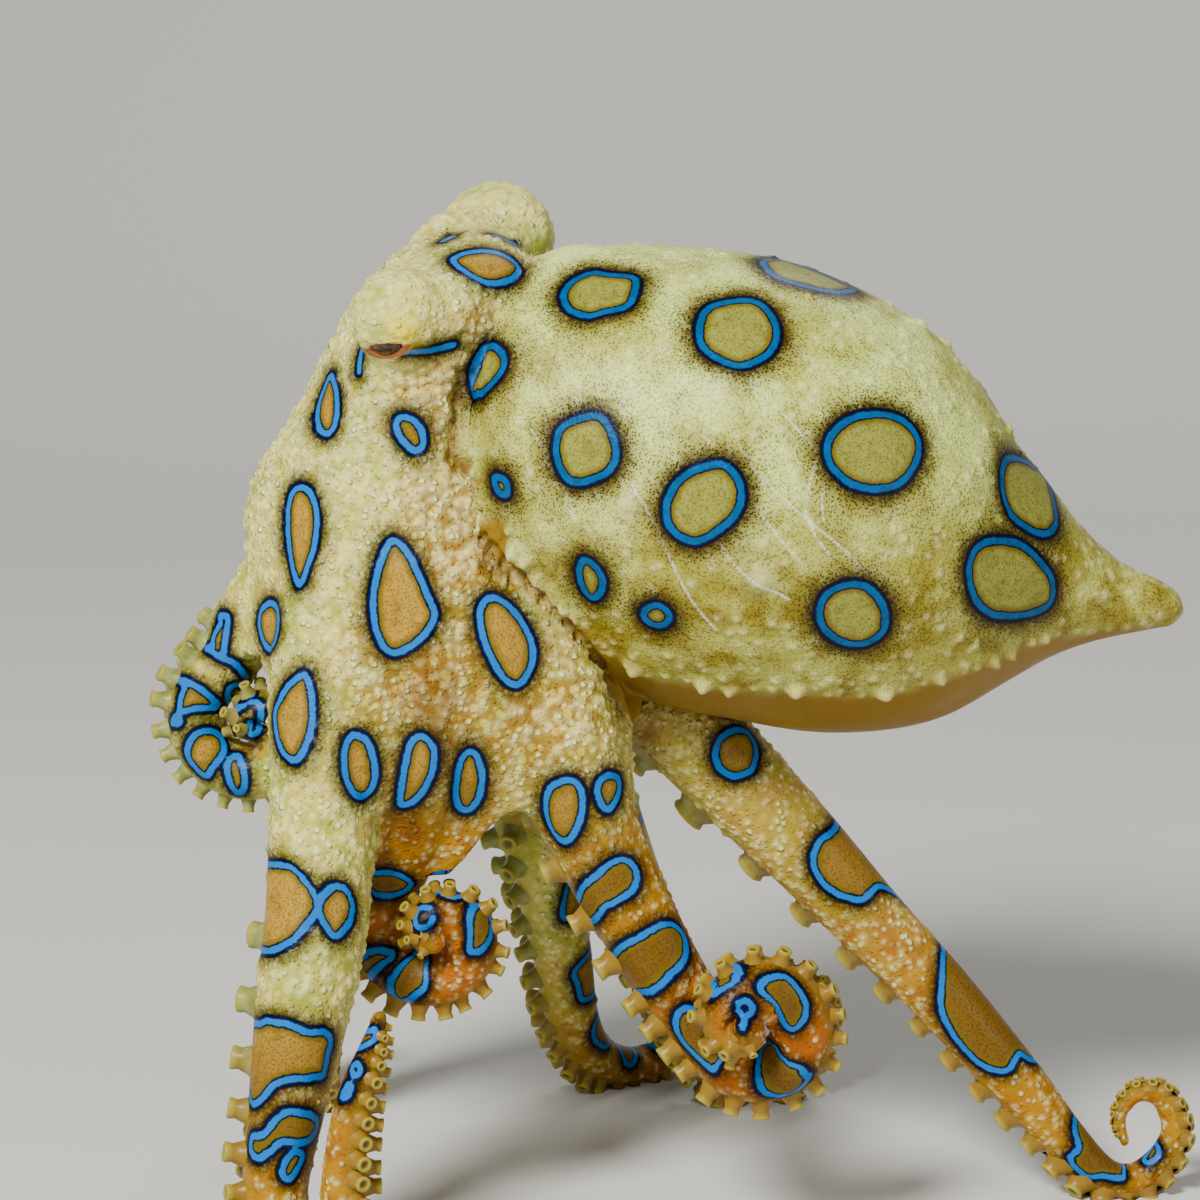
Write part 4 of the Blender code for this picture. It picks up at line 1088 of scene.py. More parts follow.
orange = np.zeros(len(places))
for k, name in enumerate(armOrder):
    own = pointArm == k
    start, end = arms[name]["orange"]
    orange[own] = fade(shareAt[own], start, end)
orange *= (1 - mantleShare) * (1 - headShare)
# The side of the arms that the suckers stand on
suckerSide = (1 - mantleShare) * (1 - headShare) * fade(-np.cos(turnAt), 0.1, 0.65) * fade(armGap, 1.0, 0.3)


def spotAt(place, radius):
    # A round spot with a soft edge
    return np.exp(-(np.linalg.norm(places - place, axis=1) / radius) ** 2)


foldShades = {  # painted shade in the orange-brown folds: pixel, radius in millimetres, strength
    "belowCrown": ((430, 700), 2.4, 0.8), "betweenArms": ((405, 825), 2.2, 1.0),
    "web": ((440, 750), 2.2, 0.9), "webRight": ((515, 815), 1.8, 0.6), "neckFold": ((575, 600), 2.6, 0.8),
    "neckLow": ((625, 690), 2.8, 0.9), "neckTop": ((480, 470), 1.5, 0.4), "rearArm": ((650, 730), 2.6, 0.8),
    "leftWeb": ((385, 860), 1.6, 0.9), "wovenRight": ((600, 850), 2.0, 0.6),
    "neckHigh": ((530, 560), 1.8, 0.6),
}
# Painted shade: orange-brown darkening along the groove of the mantle's open edge and in the folds at the
# neck, webs and arms
stain = 0.85 * groove
for pixel, radius, strength in foldShades.values():
    middle = castPixel(pixel)[0]
    for place, share in ((middle, strength), (farSide(middle), 0.7 * strength)):
        stain = np.maximum(stain, share * spotAt(place, radius) * (1 - mantleShare))

# Gold low on the mantle and at its front, painted shade that darkens it towards the bottom; stronger orange
# on two coils, and narrower halos off the mantle
lowPlan = {"height": (50.0, 41.0), "front": (1.0, -6.0), "frontTop": (60.0, 54.0), "frontShare": 0.6}
front = lowPlan["frontShare"] * fade(places[:, 0], *lowPlan["front"])
front *= fade(places[:, 2], *lowPlan["frontTop"])
low = mantleShare * np.maximum(fade(places[:, 2], *lowPlan["height"]), front)
vividPlan = {"L3": (19.0, 24.0), "L4": (24.0, 29.0)}  # lengths along the arm over which it comes up
vivid = np.zeros(len(places))
for name, (start, end) in vividPlan.items():
    own = pointArm == armOrder.index(name)
    vivid[own] = fade(lengthAt[own], start, end)
vivid *= onArm * (1 - mantleShare)
haloShare = 1 - (1 - mantleShare) * (0.55 + 0.25 * onArm * fade(pointRadius, 2.9, 2.1))

warmSpots = {  # peach skin: pixel, radius in millimetres
    "cheek": ((440, 400), 2.6), "below": ((460, 500), 3.0), "crown": ((470, 560), 4.0),
    "lower": ((440, 680), 5.0), "web": ((540, 720), 4.0), "brow": ((478, 325), 1.2),
}
warm = 0.25 * orange
for pixel, radius in warmSpots.values():
    middle = castPixel(pixel)[0]
    for place in (middle, farSide(middle)):
        warm = np.maximum(warm, spotAt(place, radius))

scratches = [  # thin pale lines on the mantle, as pixels
    [(572, 395), (580, 420), (586, 440)], [(532, 430), (546, 455), (556, 476)],
    [(632, 483), (650, 515), (664, 545), (690, 598), (716, 630)],
    [(748, 378), (775, 405), (800, 432), (824, 462)],
    [(735, 440), (755, 470), (790, 505), (842, 548), (868, 575)],
    [(728, 446), (742, 480), (765, 520), (800, 562)],
    [(816, 462), (806, 500), (812, 530), (830, 556)], [(690, 520), (716, 540), (742, 572), (790, 600)],
    [(828, 470), (822, 500), (824, 520)], [(545, 420), (560, 470), (575, 520)],
]
scratch = np.full(len(places), 9.0)
for line in scratches:
    loop = np.array([castPixel(pixel)[0] for pixel in smoothRows(line, 5)])
    near = np.nonzero(np.linalg.norm(places - loop.mean(axis=0), axis=1) < 9)[0]
    scratch[near] = np.minimum(scratch[near], loopDistance(places[near], np.vstack([loop, loop[::-1]])))


# Papillae: small cones all over, larger ones on the ridge, and a few broad ones

papillae = {
    "mantle": {"count": 900, "radius": (0.2, 0.34), "height": (0.06, 0.22)},
    "head": {"count": 2600, "radius": (0.24, 0.46), "height": (0.12, 0.36)},
    "arms": {"count": 4600, "radius": (0.22, 0.4), "height": (0.08, 0.26)},
    "ridge": {"step": 1.3, "radius": (0.26, 0.58), "height": (0.15, 0.85)},
}
papillaShape = {"reach": 1.9, "sharp": 1.4, "tail": (26.0, 30.0), "tailLoss": 0.6}
broadPapillae = {  # pixel, radius and height
    "crest": ((585, 236), 0.9, 0.55), "crestFar": ((918, 328), 0.8, 0.6), "tail": ((1058, 470), 0.7, 0.7),
    "shoulder": ((722, 386), 1.5, 0.6), "side": ((630, 500), 1.0, 0.45), "flank": ((760, 580), 0.9, 0.45),
    "browA": ((396, 262), 0.6, 0.35), "browB": ((352, 322), 0.5, 0.35), "hood": ((445, 222), 0.7, 0.5),
    "rimA": ((514, 553), 0.55, 0.6), "rimB": ((527, 560), 0.5, 0.6), "ridgeA": ((635, 668), 0.65, 0.7),
    "ridgeB": ((704, 684), 0.6, 0.75), "ridgeC": ((796, 691), 0.6, 0.6), "ridgeD": ((886, 692), 0.6, 0.7),
    "saddle": ((572, 258), 2.8, 0.75), "saddleNear": ((540, 262), 1.8, 0.4),
    "backA": ((945, 345), 0.6, 0.4), "backB": ((1015, 425), 0.6, 0.4), "neck": ((470, 395), 0.6, 0.4),
}
bumps = []


def addPapilla(place, plan, size, scale=1.0):
    # Notes its place, radius and height, with size going from 0 to 1 over the plan's ranges
    radius, height = (plan[key][0] + np.ptp(plan[key]) * size for key in ("radius", "height"))
    bumps.append((place, radius * scale, height * scale))


own = {
    "mantle": mantleShare * (1 - underside), "head": headShare, "arms": (1 - mantleShare) * (1 - headShare),
}
clearOfRings = fade(ringEdge, 0.35, 0.8)
for name, share in own.items():
    plan = papillae[name]
    weight = share * clearOfRings * (1 - suckerSide)
    picked = chance.choice(len(places), plan["count"], replace=False, p=weight / weight.sum())
    for i in picked:
        addPapilla(places[i], plan, chance.random() ** 1.6, 1 - 0.45 * orange[i])
walked = np.concatenate([[0.0], np.cumsum(np.linalg.norm(np.diff(ridge, axis=0), axis=1))])
for side in (1, -1):
    for s in np.arange(0.5, walked[-1], papillae["ridge"]["step"]):
        s += chance.uniform(-0.2, 0.2)
        place = np.array([np.interp(s, walked, ridge[:, i]) for i in range(3)])
        place[2] += chance.normal(0, 0.25)
        if side < 0:
            place = farSide(place)
        found = surface.find_nearest(Vector(place))[0]
        addPapilla(np.array(found), papillae["ridge"], chance.random() ** 3)
for pixel, radius, height in broadPapillae.values():
    place = castPixel(pixel)[0]
    bumps.append((place, radius, height))
    if place[1] < ringPlan["mirrorY"] - ringPlan["nearMiddle"]:
        far = surface.find_nearest(Vector(farSide(place)))[0]
        bumps.append((np.array(far), radius, height))

skinTree = KDTree(len(places))
for i, place in enumerate(places.tolist()):
    skinTree.insert(place, i)
skinTree.balance()
rise = np.zeros(len(places))
tipTone = np.zeros(len(places))
for place, radius, height in bumps:
    for point, i, far in skinTree.find_range(place, radius * papillaShape["reach"]):
        share = math.exp(-papillaShape["sharp"] * (far / radius) ** 2)
        if height * share > rise[i]:
            rise[i] = height * share
        if share > tipTone[i]:
            tipTone[i] = share
# Lower on the rings and at the mantle's tail
onTail = fade(places[:, 0], *papillaShape["tail"])
rise *= np.maximum(fade(ringEdge, 0.1, 0.6), 0.15) * (1 - papillaShape["tailLoss"] * onTail)
print("papillae:", len(bumps))


# Lids: the skin dips to the eye in a slit, with a raised fold round it

lidPlan = {
    "halfLength": 1.15, "halfHeight": 0.44, "dip": 1.1, "edge": (1.12, 0.72), "front": (0.3, 0.9),
    "fold": 0.07, "foldAt": 1.45, "foldWide": 0.34, "foldShare": (1.15, 0.8),
    "shadeAt": 1.2, "shadeWide": 0.5, "shade": 0.75, "shadeTop": (0.3, -0.15), "smooth": (1.5, 2.3),
    "mound": (1.3, 0.3),
}
lidShade = np.zeros(len(places))
calm = np.zeros(len(places))
for side in ("left", "right"):
    eye = eyes[side]
    gaze, level, upright = eyeAxes(eye)
    offset = places - eyeCentre(eye)
    ahead = offset @ gaze
    across, high = offset @ level, offset @ upright
    ringAt = np.hypot(across / lidPlan["halfLength"], high / lidPlan["halfHeight"])
    front = fade(ahead, *lidPlan["front"])
    dip = fade(ringAt, *lidPlan["edge"]) * front
    fold = np.exp(-((ringAt - lidPlan["foldAt"]) / lidPlan["foldWide"]) ** 2) * front
    fold *= np.where(high < 0, *lidPlan["foldShare"])
    change = fold * lidPlan["fold"] - dip * lidPlan["dip"]
    smoothed = ringAt < lidPlan["smooth"][1]
    rise = np.where(smoothed, rise * fade(ringAt, *lidPlan["smooth"]) + change, rise)
    lidShade = np.maximum(lidShade, dip)
    below = np.exp(-((ringAt - lidPlan["shadeAt"]) / lidPlan["shadeWide"]) ** 2) * front
    lidShade = np.maximum(lidShade, lidPlan["shade"] * below * fade(high, *lidPlan["shadeTop"]))
    noRing = (ringAt < lidPlan["smooth"][0]) & (ahead > lidPlan["front"][0])
    ringEdge = np.where(noRing, ringPlan["far"], ringEdge)
    # Skin lies calmer on the mound of the eye
    mound = fade(np.linalg.norm(places - np.array(eye["bulge"]), axis=1) - eye["size"], *lidPlan["mound"])
    rise = np.where(ringAt > lidPlan["smooth"][1], rise * (1 - 0.5 * mound), rise)
    calm = np.maximum(calm, mound)
print("lids shaped")
rise += (formPlan["rimHeight"] * rim - formPlan["grooveDepth"] * groove) * (1 - lidShade)

# How strong the grains are: most on the head, less on orange skin, a little on the mantle
grain = headShare + (1 - headShare) * (1 - mantleShare) * (0.9 - 0.4 * orange)
grain += 0.22 * mantleShare * (1 - underside)
grain *= fade(ringEdge, 0.3, 0.8) * (1 - 0.8 * suckerSide) * (1 - 0.45 * calm)

raised = places + normals * rise[:, None]
raised[:, 2] = np.maximum(raised[:, 2], 0.0)  # flat where it lies on the floor
setPlaces(skin, raised)
goldPlace = castPixel((404, 332))[0]
skinValues = {  # what the skin's material reads at each point
    "ringEdge": ringEdge, "mantle": mantleShare, "underside": underside, "low": low, "haloShare": haloShare,
    "vivid": vivid, "orange": orange, "suckerSide": suckerSide, "stain": stain, "tip": tipTone,
    "grain": grain, "lid": lidShade, "warm": warm, "scratch": scratch, "gold": spotAt(goldPlace, 1.0),
}
for name, numbers in skinValues.items():
    addAttribute(skin, name, numbers)
wholeNormals = normalsOf(skin)
kept = skin.data.attributes.new("wholeNormal", "FLOAT_VECTOR", "POINT")
kept.data.foreach_set("vector", wholeNormals.astype(np.float32).ravel())


# Materials

def colour(code):
    # An sRGB hex value as linear colour
    parts = [int(code[i:i + 2], 16) / 255 for i in (1, 3, 5)]
    return (*[p / 12.92 if p <= 0.04045 else ((p + 0.055) / 1.055) ** 2.4 for p in parts], 1.0)


def newMaterial(name, rough, **settings):
    material = bpy.data.materials.new(name)
    material.use_nodes = True
    shader = material.node_tree.nodes["Principled BSDF"]
    shader.inputs["Roughness"].default_value = rough
    for key, value in settings.items():
        shader.inputs[key.replace("_", " ")].default_value = value
    return material, material.node_tree, shader


def addNode(tree, kind, inputs=None, **settings):
    made = tree.nodes.new("ShaderNode" + kind)
    for key, value in settings.items():
        setattr(made, key, value)
    for key, value in (inputs or {}).items():
        if isinstance(value, bpy.types.NodeSocket):
            tree.links.new(value, made.inputs[key])
        else:
            made.inputs[key].default_value = value
    return made


def patchyColour(tree, size, detail, patch, tones):
    # Cloudy noise with patches size millimetres wide, and a colour with a second one in them
    where = addNode(tree, "TexCoord").outputs["Object"]
    cloud = addNode(tree, "TexNoise", {"Vector": where, "Scale": 1000 / size, "Detail": detail}).outputs[0]
    start, end, most = patch
    patchy = addNode(tree, "MapRange", {0: cloud, 1: start, 2: end, 3: 0.0, 4: most}).outputs[0]
    first, second = (colour(code) for code in tones)
    return cloud, addNode(tree, "Mix", {0: patchy, 6: first, 7: second}, data_type="RGBA").outputs[2]


skinTones = {
    "pale": "#d8e67e", "cream": "#b4b44a", "olive": "#6a580c", "gold": "#8a7812", "brown": "#221200",
    "ink": "#04030c", "facePale": "#e2d66a", "faceGreen": "#b2c04c", "peach": "#cc9430",
    # the dark orange-brown below the mantle's ridge is partly painted shade
    "underside": "#84640e", "crevice": "#865e0c", "orange": "#ac7800", "deepOrange": "#8a4600",
    "vivid": "#b05c00", "stain": "#6e3e00", "khaki": "#90903c", "tan": "#b08830", "darkFill": "#5a3a06",
    "sucker": "#908026", "blue": "#0062a6", "armBlue": "#0072c4", "deepBlue": "#004c76", "navy": "#000a44",
    # the near-white tone for granule and papilla tips is partly their pale colour and partly a painted
    # highlight
    "lid": "#84502c", "lidDark": "#160402", "granule": "#fcfaac", "yellow": "#ecd808", "scratch": "#ece8da",
}

# Octopus skin: moist and granular, so it takes small soft glints over a deep colour
skinMaterial, tree, shader = newMaterial("moist octopus skin", 0.42, IOR=1.4, Specular_IOR_Level=0.2)
where = addNode(tree, "TexCoord").outputs["Object"]
values = {name: addNode(tree, "Attribute", attribute_name=name).outputs["Fac"] for name in skinValues}
patchSizes = {  # how wide a patch is in millimetres, and its octaves
    "wide": (5.0, 2.0), "cloud": (2.2, 3.0), "mottle": (0.8, 2.0), "speck": (0.22, 1.0),
}
for name, (size, detail) in patchSizes.items():
    made = addNode(tree, "TexNoise", {
        "Vector": where, "Scale": 1000 / size, "Detail": detail, "Roughness": 0.6,
    })
    values[name] = made.outputs[0]
# Cells in millimetres: dots of colour, and grains. Real dots are half as wide, too fine to show, so these
# are coarser.
for name, size in {"dots": 0.17, "granules": 0.56, "fineGranules": 0.3}.items():
    made = addNode(tree, "TexVoronoi", {"Vector": where, "Scale": 1000 / size, "Randomness": 1.0})
    values[name], values[name + "Luck"] = made.outputs[0], made.outputs[1]

# Each step names a new value: a range reads a value from start to end, and gives 0 to 1 or the two numbers
# after them
steps = {
    "wobbleWide": ("RANGE", "mottle", 0.0, 1.0, -0.06, 0.06),
    "wobbleFine": ("RANGE", "speck", 0.0, 1.0, -0.04, 0.04),
    "edge": ("ADD", "ringEdge", "wobbleWide", "wobbleFine"), "spotted": ("RANGE", "dots", 0.5, 0.25),
    "knob": ("RANGE", "granules", 0.46, 0.16), "knobLuck": ("RANGE", "granulesLuck", 0.3, 0.8),
    "smallKnob": ("RANGE", "fineGranules", 0.46, 0.16), "smallLuck": ("RANGE", "fineGranulesLuck", 0.3, 0.7),
    "knobs": ("MULTIPLY", "knob", "knobLuck", "grain"),
    # painted shade in the gaps between granules, stronger on warm skin
    "smallKnobs": ("MULTIPLY", "smallKnob", "smallLuck", "grain"), "gap": ("RANGE", "granules", 0.34, 0.6),
    "gapWarm": ("RANGE", "warm", 0.0, 0.6, 0.35, 0.85), "crevices": ("MULTIPLY", "gap", "grain", "gapWarm"),
    # mantle
    "creamPatch": ("RANGE", "wide", 0.4, 0.66, 0.0, 0.85),
    "olivePatch": ("RANGE", "cloud", 0.44, 0.66, 0.0, 0.28),
    # painted shade: darker gold low on the mantle, broken up by the cloud
    "lowBreaks": ("RANGE", "cloud", 0.3, 0.7, 0.45, 1.0), "lowOlive": ("MULTIPLY", "low", "lowBreaks", 0.95),
    "mottleDots": ("RANGE", "mottle", 0.25, 0.55, 0.25, 0.6),
    "oliveDots": ("MULTIPLY", "spotted", "mottleDots"),
    "cloudDots": ("RANGE", "cloud", 0.45, 0.65, 0.05, 0.45),
    # pale papilla tips on the mantle, partly a painted highlight
    "brownDots": ("MULTIPLY", "spotted", "cloudDots"), "tipMantle": ("MULTIPLY", "tip", 0.4),
    "scratchWidth": ("RANGE", "scratch", 0.13, 0.04),
    "scratchBreaks": ("RANGE", "mottle", 0.3, 0.5, 0.15, 0.75),
    "scratched": ("MULTIPLY", "scratchWidth", "scratchBreaks"),
    # head, crown and arms
    "palePatch": ("RANGE", "cloud", 0.36, 0.6), "warmBreaks": ("RANGE", "mottle", 0.3, 0.6, 0.35, 0.8),
    "warmed": ("MULTIPLY", "warm", "warmBreaks"), "freckleArea": ("RANGE", "mottle", 0.45, 0.65, 0.0, 0.3),
    # pale granule and papilla tips on the head, crown and arms: partly their own pale colour, partly a
    # painted highlight
    "freckles": ("MULTIPLY", "spotted", "freckleArea"), "knobTips": ("MULTIPLY", "knobs", 1.0),
    "tipFace": ("MULTIPLY", "tip", 0.5), "orangePatch": ("RANGE", "cloud", 0.42, 0.66, 0.0, 0.75),
    "orangeDeep": ("MULTIPLY", "orange", "orangePatch"), "vividShare": ("MULTIPLY", "vivid", 0.9),
    "suckerTone": ("MULTIPLY", "suckerSide", 0.5), "stainBreaks": ("RANGE", "mottle", 0.3, 0.6, 0.6, 1.0),
    # painted shade in the folds, broken up by the mottle
    "stained": ("MULTIPLY", "stain", "stainBreaks"),
    # rings
    "haloWide": ("RANGE", "edge", 2.4, 0.5), "halo": ("MULTIPLY", "haloWide", "haloShare"),
    "haloBreaks": ("RANGE", "mottle", 0.3, 0.6, 0.35, 0.9), "haloSoft": ("MULTIPLY", "halo", "haloBreaks"),
    "haloDots": ("MULTIPLY", "halo", "spotted"), "haloNear": ("RANGE", "edge", 1.35, 0.4),
    "speckBreaks": ("RANGE", "speck", 0.3, 0.6, 0.5, 0.95),
    "haloDark": ("MULTIPLY", "haloNear", "speckBreaks"), "inside": ("RANGE", "edge", -0.16, -0.32),
    "fillDots": ("MULTIPLY", "inside", "spotted", 0.45), "fillRim": ("RANGE", "edge", -0.75, -0.34),
    "fillEdge": ("MULTIPLY", "inside", "fillRim", 0.9), "fillOrange": ("MULTIPLY", "orange", 0.85),
    "notMantle": ("RANGE", "mantle", 0.6, 0.2), "fillPatch": ("RANGE", "mottle", 0.45, 0.7, 0.0, 0.4),
    "inkOut": ("RANGE", "edge", 0.56, 0.36), "inkIn": ("RANGE", "edge", -0.36, -0.26),
    "inked": ("MULTIPLY", "inkOut", "inkIn"), "navyOut": ("RANGE", "edge", 0.36, 0.24),
    "navyIn": ("RANGE", "edge", -0.27, -0.2), "navyLine": ("MULTIPLY", "navyOut", "navyIn"),
    "lineOut": ("RANGE", "edge", 0.22, 0.16), "lineIn": ("RANGE", "edge", -0.22, -0.16),
    "line": ("MULTIPLY", "lineOut", "lineIn"), "lineBreaks": ("RANGE", "mottle", 0.42, 0.66, 0.0, 0.5),
    "lineMantle": ("MULTIPLY", "mantle", 0.6), "lineDeep": ("ADD", "lineBreaks", "lineMantle"),
    "deepLine": ("MULTIPLY", "line", "lineDeep"), "armShare": ("RANGE", "mantle", 0.5, 0.1, 0.0, 0.7),
    "armLine": ("MULTIPLY", "line", "armShare"),
    # eye
    "goldBreaks": ("RANGE", "speck", 0.3, 0.5), "golden": ("MULTIPLY", "gold", "goldBreaks"),
    "slit": ("RANGE", "lid", 0.82, 0.94), "lidCover": ("RANGE", "lid", 0.15, 0.7),
    # relief
    "smallRelief": ("MULTIPLY", "smallKnobs", 0.45), "speckRelief": ("MULTIPLY", "speck", 0.12),
    "relief": ("ADD", "knobs", "smallRelief", "speckRelief"),
    "rough": ("RANGE", "cloud", 0.3, 0.7, 0.3, 0.46),
}
for name, (operation, first, *rest) in steps.items():
    if operation == "RANGE":
        start, end, low, high = (*rest, 0.0, 1.0)[:4]
        made = addNode(tree, "MapRange", {0: values[first], 1: start, 2: end, 3: low, 4: high},
                       interpolation_type="SMOOTHSTEP")
        values[name] = made.outputs[0]
        continue
    value = values[first]
    for part in rest:
        value = addNode(tree, "Math", {0: value, 1: values.get(part, part)}, operation=operation).outputs[0]
    values[name] = value

# Coats of colour: each skin starts from a tone or an earlier skin, and takes coats where their value is high
coats = {
    "mantleSkin": ("pale", [
        ("creamPatch", "cream"), ("lowOlive", "gold"), ("olivePatch", "olive"), ("oliveDots", "olive"),
        ("brownDots", "brown"), ("tipMantle", "granule"), ("scratched", "scratch"),
    ]),
    "faceSkin": ("faceGreen", [
        ("palePatch", "facePale"), ("warmed", "peach"), ("freckles", "olive"), ("crevices", "crevice"),
        ("orange", "orange"), ("vividShare", "vivid"), ("orangeDeep", "deepOrange"),
        ("knobTips", "granule"), ("tipFace", "granule"), ("suckerTone", "sucker"),
    ]),
    # painted shade in the folds is the last coat on the body's skin
    "bodySkin": ("faceSkin", [("mantle", "mantleSkin"), ("underside", "underside"), ("stained", "stain")]),
    "ringFill": ("khaki", [("notMantle", "tan"), ("fillOrange", "darkFill"), ("fillPatch", "olive")]),
    "ringedSkin": ("bodySkin", [
        ("haloSoft", "olive"), ("haloDots", "brown"), ("haloDark", "brown"), ("inside", "ringFill"),
        ("fillDots", "brown"), ("fillEdge", "olive"), ("inked", "ink"), ("navyLine", "navy"),
        ("line", "blue"), ("deepLine", "deepBlue"), ("armLine", "armBlue"),
    ]),
    "wholeSkin": ("ringedSkin", [("golden", "yellow"), ("lidCover", "lid"), ("slit", "lidDark")]),
}
paints = {name: colour(code) for name, code in skinTones.items()}
for name, (base, layers) in coats.items():
    paint = paints[base]
    for share, over in layers:
        sides = {0: values[share], 6: paint, 7: paints[over]}
        paint = addNode(tree, "Mix", sides, data_type="RGBA").outputs[2]
    paints[name] = paint
tree.links.new(paints["wholeSkin"], shader.inputs["Base Color"])
tree.links.new(values["rough"], shader.inputs["Roughness"])
bump = addNode(tree, "Bump", {"Strength": 0.9, "Distance": 0.00029, "Height": values["relief"]})
tree.links.new(bump.outputs[0], shader.inputs["Normal"])
print("skin painted")


# The skin in pieces, so that no piece is too large. Each keeps the whole skin's normals, so no seam shows.

mantleSplit = 9.0
skin.data.materials.append(skinMaterial)
facePoints = np.empty(len(skin.data.loops), np.int32)
skin.data.loops.foreach_get("vertex_index", facePoints)
firstPoint = facePoints[np.array([p.loop_start for p in skin.data.polygons])]
zone = np.where(mantleShare > 0.5, 0, np.where(headShare > 0.5, 1, 2 + pointArm))
zone = np.where((zone == 0) & (places[:, 0] > mantleSplit), 10, zone)
zoneNames = ["mantleFront", "head"] + ["arm" + name for name in armOrder] + ["mantleBack"]
for i in range(1, len(zoneNames)):
    skin.data.materials.append(skinMaterial)
marked = skin.data.attributes.new("zone", "INT", "FACE")
marked.data.foreach_set("value", zone[firstPoint].astype(np.int32))
skin.data.polygons.foreach_set("material_index", zone[firstPoint].astype(np.int32))
choose(skin)
bpy.ops.object.mode_set(mode="EDIT")
bpy.ops.mesh.select_all(action="SELECT")
bpy.ops.mesh.separate(type="MATERIAL")
bpy.ops.object.mode_set(mode="OBJECT")
skinPieces = [o for o in bpy.context.selected_objects if o.type == "MESH"]
nodes = frame["nodes"]
for piece in skinPieces:
    name = zoneNames[piece.data.attributes["zone"].data[0].value]
    piece.name = piece.data.name = "skin_" + name
    piece.data.materials.clear()
    piece.data.materials.append(skinMaterial)
    piece.data.polygons.foreach_set("material_index", np.zeros(len(piece.data.polygons), np.int32))
    piece.data.shade_smooth()
    flat = np.empty(len(piece.data.vertices) * 3, np.float32)
    piece.data.attributes["wholeNormal"].data.foreach_get("vector", flat)
    inMetres(piece)
    piece.data.normals_split_custom_set_from_vertices(flat.reshape(-1, 3).tolist())
    piece.data.attributes.remove(piece.data.attributes["wholeNormal"])
    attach(piece, "root")
    if name == "head":
        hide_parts(*[n for n in nodes if n.startswith("head") or n.startswith("bulge")])
    elif name.startswith("mantle"):
        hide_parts(*[n for n in nodes if n.startswith("mantle") or n.startswith("siphon")])
    else:
        own = name[3:]
        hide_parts(*[n for n in nodes if n.startswith("arm_" + own)
                             or (n.startswith("web") and own in n)])
    print(piece.name, len(piece.data.polygons) * 2, "triangles")


# Suckers: one flared cup on a short stalk, copied in two staggered rows under each arm

suckerPlan = {
    "sides": 10, "turn": 31.0, "start": 5.0, "end": 0.5, "uneven": (0.93, 1.05), "overlap": 0.1,
    "noCoil": 999.0, "inCoil": (6.0, 14.0), "coilLoss": 0.3, "probe": 0.5, "stretch": (0.6, 1.7),
    "profile": (  # width and height, from the stalk's foot over the rim to the dish
        (1.75, -0.45), (1.2, 0.15), (0.92, 0.6), (1.03, 0.93), (0.97, 1.05), (0.66, 1.0), (0.32, 0.84),
    ),
    "radii": (0.4, 1.5, 2.1, 3.2), "size": (0.36, 0.33, 0.26, 0.27), "pitch": (1.1, 0.9, 0.95, 1.25),
    "tall": (1.2, 1.8, 1.9, 1.35), "coilPitch": 0.72,
    "broad": {"R4": (1.35, 0.62, 1.35)},  # size, height and spacing of the broad low ones
}
bpy.ops.object.select_all(action="DESELECT")
wide, low = suckerPlan["profile"][0]
bpy.ops.mesh.primitive_circle_add(vertices=suckerPlan["sides"], radius=wide, fill_type="NOTHING",
                                  location=(0, 0, low))
cup = bpy.context.object
bpy.ops.object.mode_set(mode="EDIT")
bpy.ops.mesh.select_all(action="SELECT")
for (wide, low), (nextWide, nextLow) in zip(suckerPlan["profile"], suckerPlan["profile"][1:]):
    bpy.ops.mesh.extrude_region_move(TRANSFORM_OT_translate={"value": (0, 0, nextLow - low)})
    bpy.ops.transform.resize(value=(nextWide / wide, nextWide / wide, 1.0))
bpy.ops.mesh.edge_face_add()
bpy.ops.mesh.select_all(action="SELECT")
bpy.ops.mesh.normals_make_consistent(inside=False)
bpy.ops.object.mode_set(mode="OBJECT")
cupPoints = placesOf(cup)
cupPoints[:, 2] += cup.location[2]
cupFaces = [tuple(p.vertices) for p in cup.data.polygons]
cupWidth = np.hypot(cupPoints[:, 0], cupPoints[:, 1])
rimShare = fade(cupPoints[:, 2], 0.6, 1.0) * (cupWidth > 0.6)
dishShare = (cupWidth < 0.5) * 1.0

# Sucker skin: smoother and wetter than the arm's, so its rims catch small glints
suckerMaterial, tree, shader = newMaterial(
    "sucker skin", 0.4, Specular_IOR_Level=0.25, Coat_Weight=0.06, Coat_Roughness=0.2)
cloud, paint = patchyColour(tree, 0.8, 2.0, (0.4, 0.65, 0.8), ("#949a58", "#74722a"))
for name, code in {"orange": "#8e6400", "rim": "#a89c34", "dish": "#5a4408"}.items():
    read = addNode(tree, "Attribute", attribute_name=name).outputs["Fac"]
    cover = addNode(tree, "Math", {0: read, 1: 0.85}, operation="MULTIPLY").outputs[0]
    paint = addNode(tree, "Mix", {0: cover, 6: paint, 7: colour(code)}, data_type="RGBA").outputs[2]
tree.links.new(paint, shader.inputs["Base Color"])
bump = addNode(tree, "Bump", {"Strength": 0.3, "Distance": 0.00008, "Height": cloud})
tree.links.new(bump.outputs[0], shader.inputs["Normal"])


